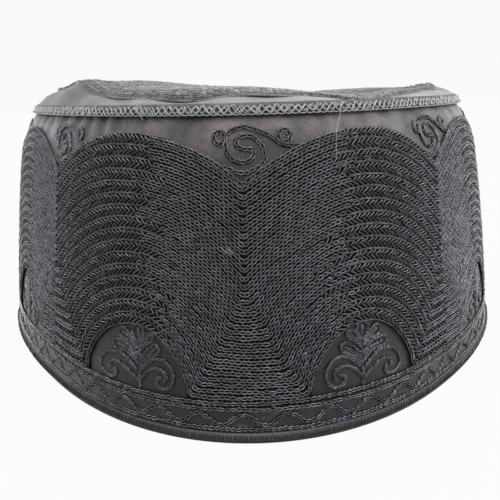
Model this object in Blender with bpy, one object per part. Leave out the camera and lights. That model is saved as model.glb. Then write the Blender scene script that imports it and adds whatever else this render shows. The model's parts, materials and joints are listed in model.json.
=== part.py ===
"""A tubeteika skullcap, modelled as it is sewn, in metres with +Z up.

The cap stands on its rim.  -Y is the front and +X is on the right as seen from
the front, and the origin lies under the middle of the cap.
Angles run round the cap from the front (0 degrees) towards +X (90 degrees).
"""
import math

import bmesh
import bpy
from mathutils import Vector

# Driving sizes of the cap
RIM_HALF_WIDTH = 0.0913      # outside of the rim, to +X, before the plan's waves
RIM_HALF_DEPTH = 0.0970      # outside of the rim, to the front, before the waves
WALL_HEIGHT = 0.0773         # floor to the crown seam
CROWN_INSET = 0.0129         # how far the wall leans in from the rim to the seam
CROWN_RISE = 0.0040          # how far the crown swells above its edge
BAND_THICKNESS = 0.0016
CROWN_THICKNESS = 0.0015
STITCH_THICKNESS = 0.0010    # height of the embroidered fields
BRAID_WIDTH = 0.0030
BRAID_THICKNESS = 0.0009
BINDING_HEIGHT = 0.0026
BINDING_BULGE = 0.0003       # how far the binding stands out past the wall
CLEARANCE = 0.0003           # between any two pieces

# The embroidery's layout
ARCH_COUNT = 9
BARE_STRIP = 0.0053          # bare cloth between an arch's top and the crown seam
ARCH_TOP = WALL_HEIGHT - BARE_STRIP
VALLEY_FOOT = 0.0608         # floor to the foot of the bare V between two arches
WINDOW_BASE = 0.0095         # floor to the sill of a palmette window
WINDOW_HEIGHT = 0.0175
WINDOW_WIDTH = 0.0300
WINDOW_JAMB = 0.0040         # upright stretch at each side of a window
CROWN_MARGIN = 0.0075        # bare cloth between the crown seam and its embroidery
CROWN_WAVE = 0.0011          # half the depth of the waves of the crown field's outline
CROWN_WAVES = 18
FRONT_REACH = 0.0052         # how much nearer to the seam the crown's field comes in front
FRONT_REACH_ANGLE = -9.0     # where it comes nearest, in degrees
FRONT_REACH_SPREADS = (31.0, 22.0)    # how far that spreads to the left and the right

# How finely each piece is divided
WALL_COLUMNS = 68
WALL_ROWS = 7
CROWN_RINGS = (0.22, 0.45, 0.66, 0.80, 0.87, 0.92, 0.96, 1.00)    # shares of the way out
WINDOW_COLUMNS = 3           # on each side of a window's middle
PIER_COLUMNS = 3             # from a window's side to the valley
ARCH_ROWS = 7                # from the windows to the scalloped edge

# Plan of the cap: waves that swell and draw in its ellipse.  The front and the
# back keep a soft point, where the cap is folded, and it sits a little askew.
PLAN_WAVES = [
    # (waves round the cap, share of the ellipse, angle of the first crest in degrees)
    (4, 0.0196, 0.0),
    (2, 0.0304, 45.0),
    (3, 0.0160, -11.0),
]

# Lean of the wall from the rim to the crown seam, with the shoulder near its top.
WALL_PROFILE = [
    # (share of WALL_HEIGHT, share of CROWN_INSET)
    (0.00, 0.00),
    (0.20, 0.12),
    (0.45, 0.30),
    (0.70, 0.51),
    (0.83, 0.65),
    (0.92, 0.82),
    (1.00, 1.00),
]

# Swelling of the crown from its edge to its middle.
CROWN_PROFILE = [
    # (share of the way in, share of CROWN_RISE)
    (0.00, 0.00),
    (0.05, 0.45),
    (0.14, 0.75),
    (0.40, 0.60),
    (0.70, 0.40),
    (1.00, 0.35),
]

# Soft lobes and dips of the crown.
CROWN_DENTS = [
    # (angle in degrees, share of the way out, share of the way out that it
    #  spreads over, share of CROWN_RISE that it lifts)
    (-66.0, 0.56, 0.40, 1.20),      # high lobe on the left
    (-50.0, 0.88, 0.12, 0.55),      # rolled fold beside the seam, left front
    (20.0, 0.45, 0.40, 0.45),       # swell behind the front dip
    (30.0, 0.80, 0.25, -1.00),      # dip at the front, right of the middle
    (75.0, 0.55, 0.32, -0.86),      # hollow on the right
    (80.0, 0.86, 0.14, 0.50),       # roll beside the seam on the right
    (165.0, 0.65, 0.40, -0.60),     # slack at the back
]

# Soft lumps of the wall.
WALL_DENTS = [
    # (angle in degrees, share of WALL_HEIGHT, spread in degrees,
    #  share of CROWN_INSET that it bulges)
    (-42.0, 0.55, 7.0, -0.06),
    (39.0, 0.60, 8.0, -0.07),
    (92.0, 0.40, 26.0, 0.06),
    (-104.0, 0.45, 26.0, 0.06),
    (150.0, 0.60, 20.0, -0.07),
]
WALL_DENT_SPREAD = 0.45      # height of every lump, as a share of WALL_HEIGHT

# Unevenness of the hand-guided embroidery, one row for each arch round the cap.
ARCH_SHIFTS = [
    # (shift of the valley before it, of its middle and of its window, in degrees)
    (0.0, 1.0, -1.5),
    (0.0, 0.0, -1.5),
    (-2.0, 0.0, 0.0),
    (-1.0, 0.5, 0.5),
    (0.5, 0.0, -0.5),
    (2.0, -0.5, 0.0),
    (1.0, 0.0, 0.5),
    (0.0, 0.0, 2.0),
    (-2.0, 1.5, 3.5),
]


def smooth_table(table: list, at: float) -> float:
    """Read a two-column table with a smooth curve through its rows."""
    if at <= table[0][0]:
        return table[0][1]
    for (x0, y0), (x1, y1) in zip(table, table[1:]):
        if at <= x1:
            share = (at - x0) / (x1 - x0)
            index = table.index((x0, y0))
            before = table[max(index - 1, 0)]
            after = table[min(index + 2, len(table) - 1)]
            slope0 = (y1 - before[1]) / (x1 - before[0])
            slope1 = (after[1] - y0) / (after[0] - x0)
            width = x1 - x0
            return ((2 * share**3 - 3 * share**2 + 1) * y0
                    + (share**3 - 2 * share**2 + share) * width * slope0
                    + (3 * share**2 - 2 * share**3) * y1
                    + (share**3 - share**2) * width * slope1)
    return table[-1][1]


def turn_between(angle: float, other: float) -> float:
    """The turn from one angle to another, in degrees from -180 to 180."""
    return (angle - other + 180.0) % 360.0 - 180.0


def raw_plan(angle: float) -> Vector:
    """Outside of the rim at an angle, before the plan is centred."""
    turn = math.radians(angle)
    swell = 1.0
    for waves, share, crest in PLAN_WAVES:
        swell += share * math.cos(waves * math.radians(angle - crest))
    return Vector((RIM_HALF_WIDTH * swell * math.sin(turn),
                   -RIM_HALF_DEPTH * swell * math.cos(turn), 0.0))


def plan_centre() -> Vector:
    """Middle of the plan's box, so that the origin lies under the cap's middle."""
    points = [raw_plan(360.0 * step / WALL_COLUMNS) for step in range(WALL_COLUMNS)]
    xs = [point.x for point in points]
    ys = [point.y for point in points]
    return Vector((min(xs) + max(xs), min(ys) + max(ys), 0.0)) / 2


PLAN_CENTRE = plan_centre()


def wall_face(angle: float, height: float) -> Vector:
    """The outermost face of the wall, which the embroidery's top makes."""
    share = height / WALL_HEIGHT
    inset = CROWN_INSET * smooth_table(WALL_PROFILE, min(share, 1.0))
    if share > 1.0:
        last, end = WALL_PROFILE[-2:]
        slope = (end[1] - last[1]) / (end[0] - last[0])
        inset += CROWN_INSET * slope * (share - 1.0)
    for where, middle, spread, bulge in WALL_DENTS:
        across = turn_between(angle, where) / spread
        along = (share - middle) / WALL_DENT_SPREAD
        inset -= CROWN_INSET * bulge * math.exp(-across**2 - along**2)
    rim = raw_plan(angle) - PLAN_CENTRE
    point = rim - rim.normalized() * inset
    point.z = height
    return point


def wall_point(angle: float, height: float, depth: float) -> Vector:
    """A point of the wall at a height, under so thick a layer of its outermost face."""
    step = 0.5
    round_it = wall_face(angle + step, height) - wall_face(angle - step, height)
    rise = CLEARANCE
    up_it = wall_face(angle, height + rise) - wall_face(angle, height - rise)
    normal = round_it.cross(up_it).normalized()
    level = Vector((normal.x, normal.y, 0.0))
    return wall_face(angle, height) - level * (depth / level.length_squared)


BAND_DEPTH = STITCH_THICKNESS + CLEARANCE       # the band's cloth lies this far in


def crown_edge(angle: float) -> Vector:
    """The crown's outer edge, in line with the band's cloth under it."""
    return wall_point(angle, WALL_HEIGHT + CLEARANCE + CROWN_THICKNESS, BAND_DEPTH)


def crown_point(angle: float, out: float, depth: float) -> Vector:
    """A point of the crown, at a share of the way out from its middle.

    depth is how far the point lies under the cloth's upper face.
    """
    edge = crown_edge(angle)
    lift = smooth_table(CROWN_PROFILE, 1.0 - out)
    fade = min(1.0, (1.0 - out) / CROWN_PROFILE[1][0])
    for where, middle, spread, height in CROWN_DENTS:
        turn = math.radians(turn_between(angle, where))
        apart = math.sqrt(out**2 + middle**2 - 2 * out * middle * math.cos(turn))
        lift += fade * height * math.exp(-(apart / spread)**2)
    return Vector((edge.x * out, edge.y * out, edge.z + CROWN_RISE * lift - depth))


def valley(index: int) -> float:
    """Angle of the valley before an arch."""
    pitch = 360.0 / ARCH_COUNT
    return index * pitch + ARCH_SHIFTS[index % ARCH_COUNT % len(ARCH_SHIFTS)][0]


def arch_angle(index: int, across: float, shift: int = 1) -> float:
    """The angle at a share across an arch, from -1 and 1 in its valleys to 0.

    shift is the column of ARCH_SHIFTS that says where the 0 lies.
    """
    first = valley(index)
    last = valley(index + 1)
    middle = (first + last) / 2 + ARCH_SHIFTS[index % len(ARCH_SHIFTS)][shift]
    side = last if across > 0.0 else first
    return middle + (side - middle) * abs(across)


def half_arch() -> float:
    """Half the width of an even arch, along the wall at its middle height."""
    steps = range(WALL_COLUMNS)
    points = [wall_face(360.0 * step / WALL_COLUMNS, ARCH_TOP / 2) for step in steps]
    girth = sum((points[step - 1] - points[step]).length for step in steps)
    return girth / ARCH_COUNT / 2


HALF_ARCH = half_arch()


def scallop_height(across: float) -> float:
    """Height of the arches' scalloped edge: a round arch that meets the next in a V."""
    drop = ARCH_TOP - VALLEY_FOOT
    radius = (HALF_ARCH**2 + drop**2) / (2 * drop)
    return ARCH_TOP - radius + math.sqrt(radius**2 - (across * HALF_ARCH)**2)


def window_head(off: float) -> float:
    """Height of a window's head, off its middle by a share of its half width."""
    arch = (1.0 - min(off, 1.0)**2.0)**0.8
    return WINDOW_BASE + WINDOW_JAMB + (WINDOW_HEIGHT - WINDOW_JAMB) * arch


def cloth(name: str, colour: tuple, roughness: float) -> bpy.types.Material:
    """A cloth or thread material, with a Principled BSDF."""
    material = bpy.data.materials.new(name)
    material.use_nodes = True
    shader = material.node_tree.nodes["Principled BSDF"]
    shader.inputs["Base Color"].default_value = (*colour, 1.0)
    shader.inputs["Roughness"].default_value = roughness
    shader.inputs["Metallic"].default_value = 0.0
    material.diffuse_color = (*colour, 1.0)
    return material


def finished(bm: bmesh.types.BMesh, name: str, material: bpy.types.Material) -> bpy.types.Object:
    """Turn a mesh into an object with smooth faces and its material."""
    bmesh.ops.recalc_face_normals(bm, faces=bm.faces)
    mesh = bpy.data.meshes.new(name)
    bm.to_mesh(mesh)
    bm.free()
    mesh.shade_smooth()
    mesh.set_sharp_from_angle(angle=math.radians(50.0))
    mesh.materials.append(material)
    thing = bpy.data.objects.new(name, mesh)
    bpy.context.scene.collection.objects.link(thing)
    return thing


def ring_loft(sections: list, columns: int, name: str,
              material: bpy.types.Material) -> bpy.types.Object:
    """Loft a closed ring round the cap through closed cross-sections.

    sections holds functions of the angle, each one corner of the cross-section,
    in order round it.
    """
    bm = bmesh.new()
    loops = []
    for corner in sections:
        verts = [bm.verts.new(corner(360.0 * step / columns)) for step in range(columns)]
        loops.append([bm.edges.new((verts[i], verts[(i + 1) % columns]))
                      for i in range(columns)])
    for first, second in zip(loops, loops[1:] + loops[:1]):
        bridge(bm, first, second)
    return finished(bm, name, material)


def bridge(bm: bmesh.types.BMesh, first: list, second: list) -> None:
    """Join two closed loops of as many edges with quads, column by column."""
    for one, other in zip(first, second):
        a, b = one.verts
        c, d = other.verts
        bm.faces.new((a, b, d, c))


def side_band(material: bpy.types.Material) -> bpy.types.Object:
    """The cotton wall, from the binding up to the crown seam."""
    foot = BINDING_HEIGHT + CLEARANCE
    heights = [foot + (WALL_HEIGHT - foot) * row / WALL_ROWS for row in range(WALL_ROWS + 1)]
    outside = [lambda angle, z=z: wall_point(angle, z, BAND_DEPTH) for z in heights]
    inside = [lambda angle, z=z: wall_point(angle, z, BAND_DEPTH + BAND_THICKNESS)
              for z in reversed(heights)]
    return ring_loft(outside + inside, WALL_COLUMNS, "side_band", material)


def rim_binding(material: bpy.types.Material) -> bpy.types.Object:
    """The bound edge: a flat-footed strip as thick as the wall and its stitches."""
    depth = BAND_DEPTH + BAND_THICKNESS
    round_off = BINDING_HEIGHT / 4

    def corner(height: float, inset: float):
        """One corner of the strip's cross-section."""
        def place(angle: float) -> Vector:
            return wall_point(angle, height, inset)
        return place

    sections = [
        corner(0.0, round_off),
        corner(round_off, -BINDING_BULGE),
        corner(BINDING_HEIGHT - round_off, -BINDING_BULGE),
        corner(BINDING_HEIGHT, round_off),
        corner(BINDING_HEIGHT, depth),
        corner(0.0, depth),
    ]
    return ring_loft(sections, WALL_COLUMNS, "rim_binding", material)


def crown_braid(material: bpy.types.Material) -> bpy.types.Object:
    """The braid over the crown seam, lying on the band and on the crown's edge."""
    middle = WALL_HEIGHT + (CLEARANCE + CROWN_THICKNESS) / 2
    low = middle - BRAID_WIDTH / 2
    high = middle + BRAID_WIDTH / 2
    inner = BAND_DEPTH - CLEARANCE
    outer = inner - BRAID_THICKNESS
    sections = [
        lambda angle: wall_point(angle, low, inner),
        lambda angle: wall_point(angle, low, outer + BRAID_THICKNESS / 4),
        lambda angle: wall_point(angle, middle, outer),
        lambda angle: wall_point(angle, high, outer + BRAID_THICKNESS / 4),
        lambda angle: wall_point(angle, high, inner),
    ]
    return ring_loft(sections, WALL_COLUMNS, "crown_braid", material)


def crown_sheet(rings: list, top: float, bottom: float, name: str,
                material: bpy.types.Material) -> bpy.types.Object:
    """A closed sheet over the crown, from its middle out through its rings.

    Each ring is a function of the angle, which gives its share of the way out.
    top and bottom are the depths of the two faces under the cloth's upper face.
    """
    bm = bmesh.new()
    outlines = []
    for depth in (top, bottom):
        loops = []
        for out_at in rings:
            verts = [bm.verts.new(crown_point(angle, out_at(angle), depth))
                     for angle in crown_angles()]
            loops.append([bm.edges.new((verts[i], verts[(i + 1) % len(verts)]))
                          for i in range(len(verts))])
        for first, second in zip(loops, loops[1:]):
            bridge(bm, first, second)
        middle = bm.verts.new(crown_point(0.0, 0.0, depth))
        for edge in loops[0]:
            bm.faces.new((*edge.verts, middle))
        outlines.append(loops[-1])
    bridge(bm, *outlines)
    return finished(bm, name, material)


def crown_angles() -> list:
    """The angles at which the crown's sheets are divided."""
    return [360.0 * step / WALL_COLUMNS for step in range(WALL_COLUMNS)]


def crown_panel(material: bpy.types.Material) -> bpy.types.Object:
    """The crown's cloth, out to the seam."""
    rings = [lambda angle, share=share: share for share in CROWN_RINGS]
    return crown_sheet(rings, 0.0, CROWN_THICKNESS, "crown_panel", material)


def crown_field_edge(angle: float) -> float:
    """Share of the way out at which the crown's embroidery ends, in waves."""
    wave = CROWN_WAVE * math.cos(math.radians(CROWN_WAVES * angle))
    across = (angle - FRONT_REACH_ANGLE + 180.0) % 360.0 - 180.0
    reach = FRONT_REACH * math.exp(-abs(across / FRONT_REACH_SPREADS[across > 0])**3)
    return 1.0 - (CROWN_MARGIN - reach + wave) / crown_edge(angle).xy.length


def crown_embroidery(material: bpy.types.Material) -> bpy.types.Object:
    """The crown's field of chain stitch, lying on its cloth."""
    innermost = min(crown_field_edge(angle) for angle in crown_angles())
    whole = [share for share in CROWN_RINGS if share < innermost - 0.01]
    last = whole[-1]
    rings = [lambda angle, share=share: share for share in whole]
    rings += [lambda angle, part=(share - last) / (1.0 - last):
              last + part * (crown_field_edge(angle) - last)
              for share in CROWN_RINGS if share > last]
    return crown_sheet(rings, -CLEARANCE - STITCH_THICKNESS, -CLEARANCE,
                       "crown_embroidery", material)


def arch_columns(index: int) -> list:
    """The embroidery's columns over one arch, from its first valley on.

    Each is its angle, its share across the arch, how far it is off the window's
    middle as a share of the half window, and whether it starts a window's pane.
    """
    half_window = WINDOW_WIDTH / 2 / HALF_ARCH
    columns = []
    for step in range(PIER_COLUMNS):
        across = -1.0 + (1.0 - half_window) * step / PIER_COLUMNS
        columns.append((across, False))
    for step in range(-WINDOW_COLUMNS, WINDOW_COLUMNS):
        columns.append((half_window * step / WINDOW_COLUMNS, True))
    for step in range(PIER_COLUMNS):
        across = half_window + (1.0 - half_window) * step / PIER_COLUMNS
        columns.append((across, False))
    placed = []
    for across, pane in columns:
        angle = arch_angle(index, across, 2)
        off = abs(across) / half_window
        placed.append((angle, share_across(index, angle), off, pane))
    return placed


def share_across(index: int, angle: float) -> float:
    """Share across an arch's scallop, from -1 to 1, at an angle over that arch."""
    middle = arch_angle(index, 0.0)
    side = valley(index + 1) if angle > middle else valley(index)
    return (angle - middle) / abs(side - middle)


def arch_embroidery(material: bpy.types.Material) -> bpy.types.Object:
    """The wall's field of chain stitch, scalloped above and pierced by windows."""
    foot = BINDING_HEIGHT + CLEARANCE
    bm = bmesh.new()
    grid = []
    panes = []
    for index in range(ARCH_COUNT):
        for angle, across, off, pane in arch_columns(index):
            head = window_head(off)
            edge = scallop_height(across)
            heights = [foot, WINDOW_BASE]
            heights += [head + (edge - head) * row / ARCH_ROWS for row in range(ARCH_ROWS + 1)]
            grid.append([bm.verts.new(wall_face(angle, height)) for height in heights])
            panes.append(pane)
    for column, pane in enumerate(panes):
        left = grid[column]
        right = grid[(column + 1) % len(grid)]
        for row in range(len(left) - 1):
            if row == 1 and pane:
                continue
            bm.faces.new((left[row], right[row], right[row + 1], left[row + 1]))
    field = finished(bm, "arch_embroidery", material)
    thicken = field.modifiers.new("stitch thickness", "SOLIDIFY")
    thicken.thickness = STITCH_THICKNESS
    thicken.offset = -1.0
    thicken.use_even_offset = True
    return field


def main() -> None:
    """Clear the file and sew the cap together."""
    for thing in list(bpy.data.objects):
        bpy.data.objects.remove(thing, do_unlink=True)
    cotton = cloth("charcoal cotton sateen", (0.085, 0.080, 0.086), 0.62)
    thread = cloth("charcoal chain stitch", (0.028, 0.028, 0.032), 0.55)
    braid = cloth("grey cotton braid", (0.120, 0.118, 0.122), 0.70)
    side_band(cotton)
    crown_panel(cotton)
    arch_embroidery(thread)
    crown_embroidery(thread)
    crown_braid(braid)
    rim_binding(thread)


main()
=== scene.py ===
"""Looks of a charcoal tubeteika skullcap.

The cap is dressed over its solids: cotton sateen on the wall and the crown, rows
of chain stitch in arches round the wall and in rings on the crown, a palmette in
each arch's window, a scroll in each valley, an open braid on the crown seam and
a whipped binding on the rim.  Lengths are metres, +Z is up and -Y is the front.
Angles are degrees round the cap, from the front towards +X.
"""
import json
import logging
import math
from collections.abc import Callable, Iterator
from dataclasses import dataclass, field
from enum import Enum

import bmesh
import bpy
import numpy as np
from mathutils import Matrix, Vector

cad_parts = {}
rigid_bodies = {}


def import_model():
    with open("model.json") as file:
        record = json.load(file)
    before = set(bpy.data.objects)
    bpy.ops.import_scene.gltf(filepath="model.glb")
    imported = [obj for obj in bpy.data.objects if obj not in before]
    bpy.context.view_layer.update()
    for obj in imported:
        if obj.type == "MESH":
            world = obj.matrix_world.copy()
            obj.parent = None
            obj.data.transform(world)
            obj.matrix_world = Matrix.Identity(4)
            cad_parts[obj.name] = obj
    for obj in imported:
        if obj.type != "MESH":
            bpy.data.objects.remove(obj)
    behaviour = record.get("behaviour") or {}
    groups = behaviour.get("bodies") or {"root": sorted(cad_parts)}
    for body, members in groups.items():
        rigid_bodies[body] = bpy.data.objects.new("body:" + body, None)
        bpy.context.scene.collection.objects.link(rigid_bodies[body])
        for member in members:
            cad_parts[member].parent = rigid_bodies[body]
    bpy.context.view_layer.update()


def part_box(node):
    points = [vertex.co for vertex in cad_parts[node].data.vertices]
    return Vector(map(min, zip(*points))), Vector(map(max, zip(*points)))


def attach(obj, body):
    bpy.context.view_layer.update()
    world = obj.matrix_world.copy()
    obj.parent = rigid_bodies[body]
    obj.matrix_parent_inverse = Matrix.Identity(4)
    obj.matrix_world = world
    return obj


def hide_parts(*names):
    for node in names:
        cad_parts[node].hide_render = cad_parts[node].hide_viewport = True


MM = 0.001
BODY = "root"
LOG = logging.getLogger("skullcap")
STEPS_ROUND = 68                     # the solids have so many steps round the cap
SEWN = 0.01 * MM                     # points nearer than this are sewn together
SHARP = 55.0                         # edges sharper than so many degrees are shaded as edges
PLY_TURN = 3                         # a thread's ply turns once over so many diameters
WAVE_BANDS = 20                      # a wave texture of scale 1 has so many over a length of tau


class Slot(Enum):
    """The record's material slots."""

    BAND = "cotton_band"
    CROWN = "cotton_crown"
    WALL_THREAD = "chain_stitch_wall"
    CROWN_THREAD = "chain_stitch_crown"
    BRAID = "braid"
    BINDING = "binding"


class Seed(Enum):
    """Where each work's small unevenness starts, the same in each run."""

    CREASES = 5
    ARCHES = 10
    PALMETTES = 40
    SCROLLS = 70
    BRAID = 77
    BORDER = 90
    RINGS = 95
    WHIPPING = 98
    WANDER = 100
    PLAIN = 200


class Way(Enum):
    """Which way a row of chain stitch is sewn."""

    ONWARD = 1
    BACKWARD = -1


def to_linear(colour: str) -> tuple[float, float, float, float]:
    """Turn an sRGB hex colour into a linear one.

    Args:
        colour: six hex digits after a hash.

    Returns:
        Linear red, green, blue and an alpha of 1.
    """
    parts = [int(colour[place:place + 2], 16) / 255 for place in (1, 3, 5)]
    linear = [part / 12.92 if part <= 0.04045 else ((part + 0.055) / 1.055) ** 2.4 for part in parts]
    return (*linear, 1.0)


def set_sockets(tree: bpy.types.NodeTree, node: bpy.types.Node, inputs: dict) -> None:
    """Link a node's inputs, or set their numbers.

    Args:
        tree: the node tree.
        node: the node.
        inputs: input names or numbers, each with a socket to link or a value.
    """
    for name, value in inputs.items():
        if isinstance(value, bpy.types.NodeSocket):
            tree.links.new(value, node.inputs[name])
        else:
            node.inputs[name].default_value = value


def add_node(tree: bpy.types.NodeTree, kind: str, inputs: dict | None = None,
             **settings: object) -> bpy.types.Node:
    """Add a shader node with its settings and links.

    Args:
        tree: the material's node tree.
        kind: the node's type name.
        inputs: input names or numbers, each with a socket to link or a value.
        settings: properties of the node itself.

    Returns:
        The new node.
    """
    node = tree.nodes.new(kind)
    for name, value in settings.items():
        setattr(node, name, value)
    set_sockets(tree, node, inputs or {})
    return node


def start_material(name: str) -> tuple[bpy.types.Material, bpy.types.NodeTree, bpy.types.Node]:
    """Make an empty material with a Principled shader.

    Args:
        name: the material's name.

    Returns:
        The material, its node tree and its shader.
    """
    material = bpy.data.materials.new(name)
    material.use_nodes = True
    return material, material.node_tree, material.node_tree.nodes["Principled BSDF"]


def bands_per_metre(spacing: float) -> float:
    """Scale of a wave texture whose bands lie this far apart."""
    return math.tau / WAVE_BANDS / spacing


@dataclass(frozen=True)
class SateenCloth:
    """Cotton sateen, woven and dyed: a soft, fine-grained cloth that shines at a slant, with painted shade
    and painted light from an attribute of its mesh.
    """

    name: str
    shade: str
    light: str
    roughness: float = 0.55
    sheen: float = 0.35
    thread: float = 0.42 * MM      # drawn three times as coarse as it is, to show at all
    mottle: float = 9.0 * MM       # size of the faded patches

    def make(self) -> bpy.types.Material:
        """Build the material on the cloth's own UV map, which is in metres.

        Returns:
            The material.
        """
        material, tree, shader = start_material(self.name)
        flat = add_node(tree, "ShaderNodeUVMap", uv_map="Cloth").outputs["UV"]
        place = add_node(tree, "ShaderNodeTexCoord").outputs["Object"]
        warp = add_node(tree, "ShaderNodeTexWave", {
            "Vector": flat, "Scale": bands_per_metre(self.thread), "Distortion": 1.2,
            "Detail": 2.0, "Detail Scale": 2.0}, bands_direction="X")
        weft = add_node(tree, "ShaderNodeTexWave", {
            "Vector": flat, "Scale": bands_per_metre(self.thread * 0.8), "Distortion": 1.2,
            "Detail": 2.0, "Detail Scale": 2.0}, bands_direction="DIAGONAL")
        weave = add_node(tree, "ShaderNodeMath", {
            0: warp.outputs["Fac"], 1: weft.outputs["Fac"]}, operation="MULTIPLY")
        patches = add_node(tree, "ShaderNodeTexNoise", {
            "Vector": place, "Scale": 1 / self.mottle, "Detail": 5.0, "Roughness": 0.6})
        slubs = add_node(tree, "ShaderNodeTexNoise", {
            "Vector": place, "Scale": 1 / (0.9 * MM), "Detail": 3.0, "Roughness": 0.8})
        fade = add_node(tree, "ShaderNodeMapRange", {
            "Value": patches.outputs["Fac"], "From Min": 0.25, "From Max": 0.75,
            "To Min": -0.50, "To Max": 0.44})
        # an attribute of the mesh darkens the cloth as painted shade, and where it is below 0 lightens it as
        # painted light
        painted_shade = add_node(tree, "ShaderNodeAttribute", attribute_name="painted_shade").outputs["Fac"]
        wear_and_painted_shade = add_node(tree, "ShaderNodeMath", {
            0: fade.outputs[0], 1: painted_shade}, operation="SUBTRACT")
        flecks_and_painted_shade = add_node(tree, "ShaderNodeMath", {
            0: slubs.outputs["Fac"], 1: 0.9, 2: wear_and_painted_shade.outputs[0]}, operation="MULTIPLY_ADD")
        grain_and_painted_shade = add_node(tree, "ShaderNodeMath", {
            0: weave.outputs[0], 1: 0.25, 2: flecks_and_painted_shade.outputs[0]}, operation="MULTIPLY_ADD")
        colour = add_node(tree, "ShaderNodeMix", {
            "Factor": grain_and_painted_shade.outputs[0], "A": to_linear(self.shade), "B": to_linear(self.light)},
            data_type="RGBA")
        relief = add_node(tree, "ShaderNodeMath", {
            0: slubs.outputs["Fac"], 1: 0.8, 2: weave.outputs[0]}, operation="MULTIPLY_ADD")
        bump = add_node(tree, "ShaderNodeBump", {
            "Height": relief.outputs[0], "Strength": 0.7, "Distance": 0.10 * MM})
        set_sockets(tree, shader, {
            "Base Color": mix_output(colour, "RGBA"), "Normal": bump.outputs["Normal"],
            "Roughness": self.roughness, "Sheen Weight": self.sheen, "Sheen Roughness": 0.35})
        return material


def mix_output(mix: bpy.types.Node, kind: str) -> bpy.types.NodeSocket:
    """Find the output of a Mix node that carries one kind of data."""
    return next(socket for socket in mix.outputs if socket.type == kind)


@dataclass(frozen=True)
class SpunThread:
    """Mercerised cotton thread, plied and sewn in chain stitch, with a dull shine on its top."""

    name: str
    shade: str
    light: str
    roughness: float = 0.38
    specular: float = 0.6
    sheen: float = 0.2
    plies: float = 3.0             # turns of the ply along one stitch

    def make(self) -> bpy.types.Material:
        """Build the material on each stitch's own UV map and tone.

        Returns:
            The material.
        """
        material, tree, shader = start_material(self.name)
        along = add_node(tree, "ShaderNodeUVMap", uv_map="Thread").outputs["UV"]
        tone = add_node(tree, "ShaderNodeAttribute", attribute_name="tone").outputs["Fac"]
        place = add_node(tree, "ShaderNodeTexCoord").outputs["Object"]
        twist = add_node(tree, "ShaderNodeTexWave", {
            "Vector": along, "Scale": bands_per_metre(1 / self.plies), "Distortion": 0.4},
            bands_direction="DIAGONAL")
        fuzz = add_node(tree, "ShaderNodeTexNoise", {
            "Vector": place, "Scale": 1 / (0.5 * MM), "Detail": 2.0})
        wear_and_painted_shade = add_node(tree, "ShaderNodeMath", {
            0: fuzz.outputs["Fac"], 1: 0.5, 2: tone}, operation="MULTIPLY_ADD")
        mixed = add_node(tree, "ShaderNodeMix", {
            "Factor": wear_and_painted_shade.outputs[0], "A": to_linear(self.shade), "B": to_linear(self.light)},
            data_type="RGBA")
        bump = add_node(tree, "ShaderNodeBump", {
            "Height": twist.outputs["Fac"], "Strength": 0.6, "Distance": 0.07 * MM})
        set_sockets(tree, shader, {
            "Base Color": mix_output(mixed, "RGBA"), "Normal": bump.outputs["Normal"],
            "Roughness": self.roughness, "Specular IOR Level": self.specular,
            "Sheen Weight": self.sheen, "Sheen Roughness": 0.4})
        return material


@dataclass(frozen=True)
class BackingCloth:
    """Black backing cloth, painted shade: in the rows' gaps and holes it gives the eye nothing but dark."""

    name: str
    shade: str
    light: str
    roughness: float = 0.9

    def make(self) -> bpy.types.Material:
        """Build the material, its nap as fine as lint.

        Returns:
            The material.
        """
        material, tree, shader = start_material(self.name)
        place = add_node(tree, "ShaderNodeTexCoord").outputs["Object"]
        nap = add_node(tree, "ShaderNodeTexNoise", {
            "Vector": place, "Scale": 1 / (0.7 * MM), "Detail": 3.0, "Roughness": 0.7})
        mixed = add_node(tree, "ShaderNodeMix", {
            "Factor": nap.outputs["Fac"], "A": to_linear(self.shade), "B": to_linear(self.light)},
            data_type="RGBA")
        set_sockets(tree, shader, {"Base Color": mix_output(mixed, "RGBA"),
                                   "Roughness": self.roughness, "Specular IOR Level": 0.1})
        return material


SATEEN = SateenCloth("charcoal cotton sateen", "#1a181c", "#6e666a")
CROWN_SATEEN = SateenCloth("crown cotton sateen", "#2b292b", "#656265")
SHADE_BACKING = BackingCloth("painted shade backing", "#060607", "#121214")
WALL_THREAD = SpunThread("charcoal chain-stitch thread", "#2a292e", "#64626b")
FIGURE_THREAD = SpunThread("charcoal figure thread", "#222126", "#68666f", roughness=0.35)
CROWN_THREAD = SpunThread("crown chain-stitch thread", "#363538", "#787679", roughness=0.6, specular=0.25)
# black padding thread: painted shade under the figures' stitches
SHADE_PADDING = SpunThread("painted shade padding", "#060607", "#141416", roughness=0.8, specular=0.1, sheen=0.0)
BRAID_THREAD = SpunThread("grey braid thread", "#656467", "#979598", roughness=0.5)
BRAID_TAPE = SateenCloth("braid's ground", "#131315", "#4b484b", roughness=0.7, sheen=0.1)
BINDING_CLOTH = SpunThread("whipped binding", "#101012", "#242427", roughness=0.5)


def smooth_table(rows: list, at: np.ndarray) -> np.ndarray:
    """Read a two-column table with a smooth curve through its rows.

    Args:
        rows: the table, its first column rising.
        at: where to read it.

    Returns:
        The second column there.
    """
    table = np.array(rows)
    x, y = table[:, 0], table[:, 1]
    slope = np.gradient(y, x)
    slope[1:-1] = (y[2:] - y[:-2]) / (x[2:] - x[:-2])
    at = np.clip(at, x[0], x[-1])
    place = np.clip(np.searchsorted(x, at, side="right") - 1, 0, len(x) - 2)
    width = x[place + 1] - x[place]
    share = (at - x[place]) / width
    return ((2 * share**3 - 3 * share**2 + 1) * y[place]
            + (share**3 - 2 * share**2 + share) * width * slope[place]
            + (3 * share**2 - 2 * share**3) * y[place + 1]
            + (share**3 - share**2) * width * slope[place + 1])


def unit(vectors: np.ndarray) -> np.ndarray:
    """Scale vectors to a length of 1."""
    return vectors / np.maximum(np.linalg.norm(vectors, axis=-1, keepdims=True), 1e-12)


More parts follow.
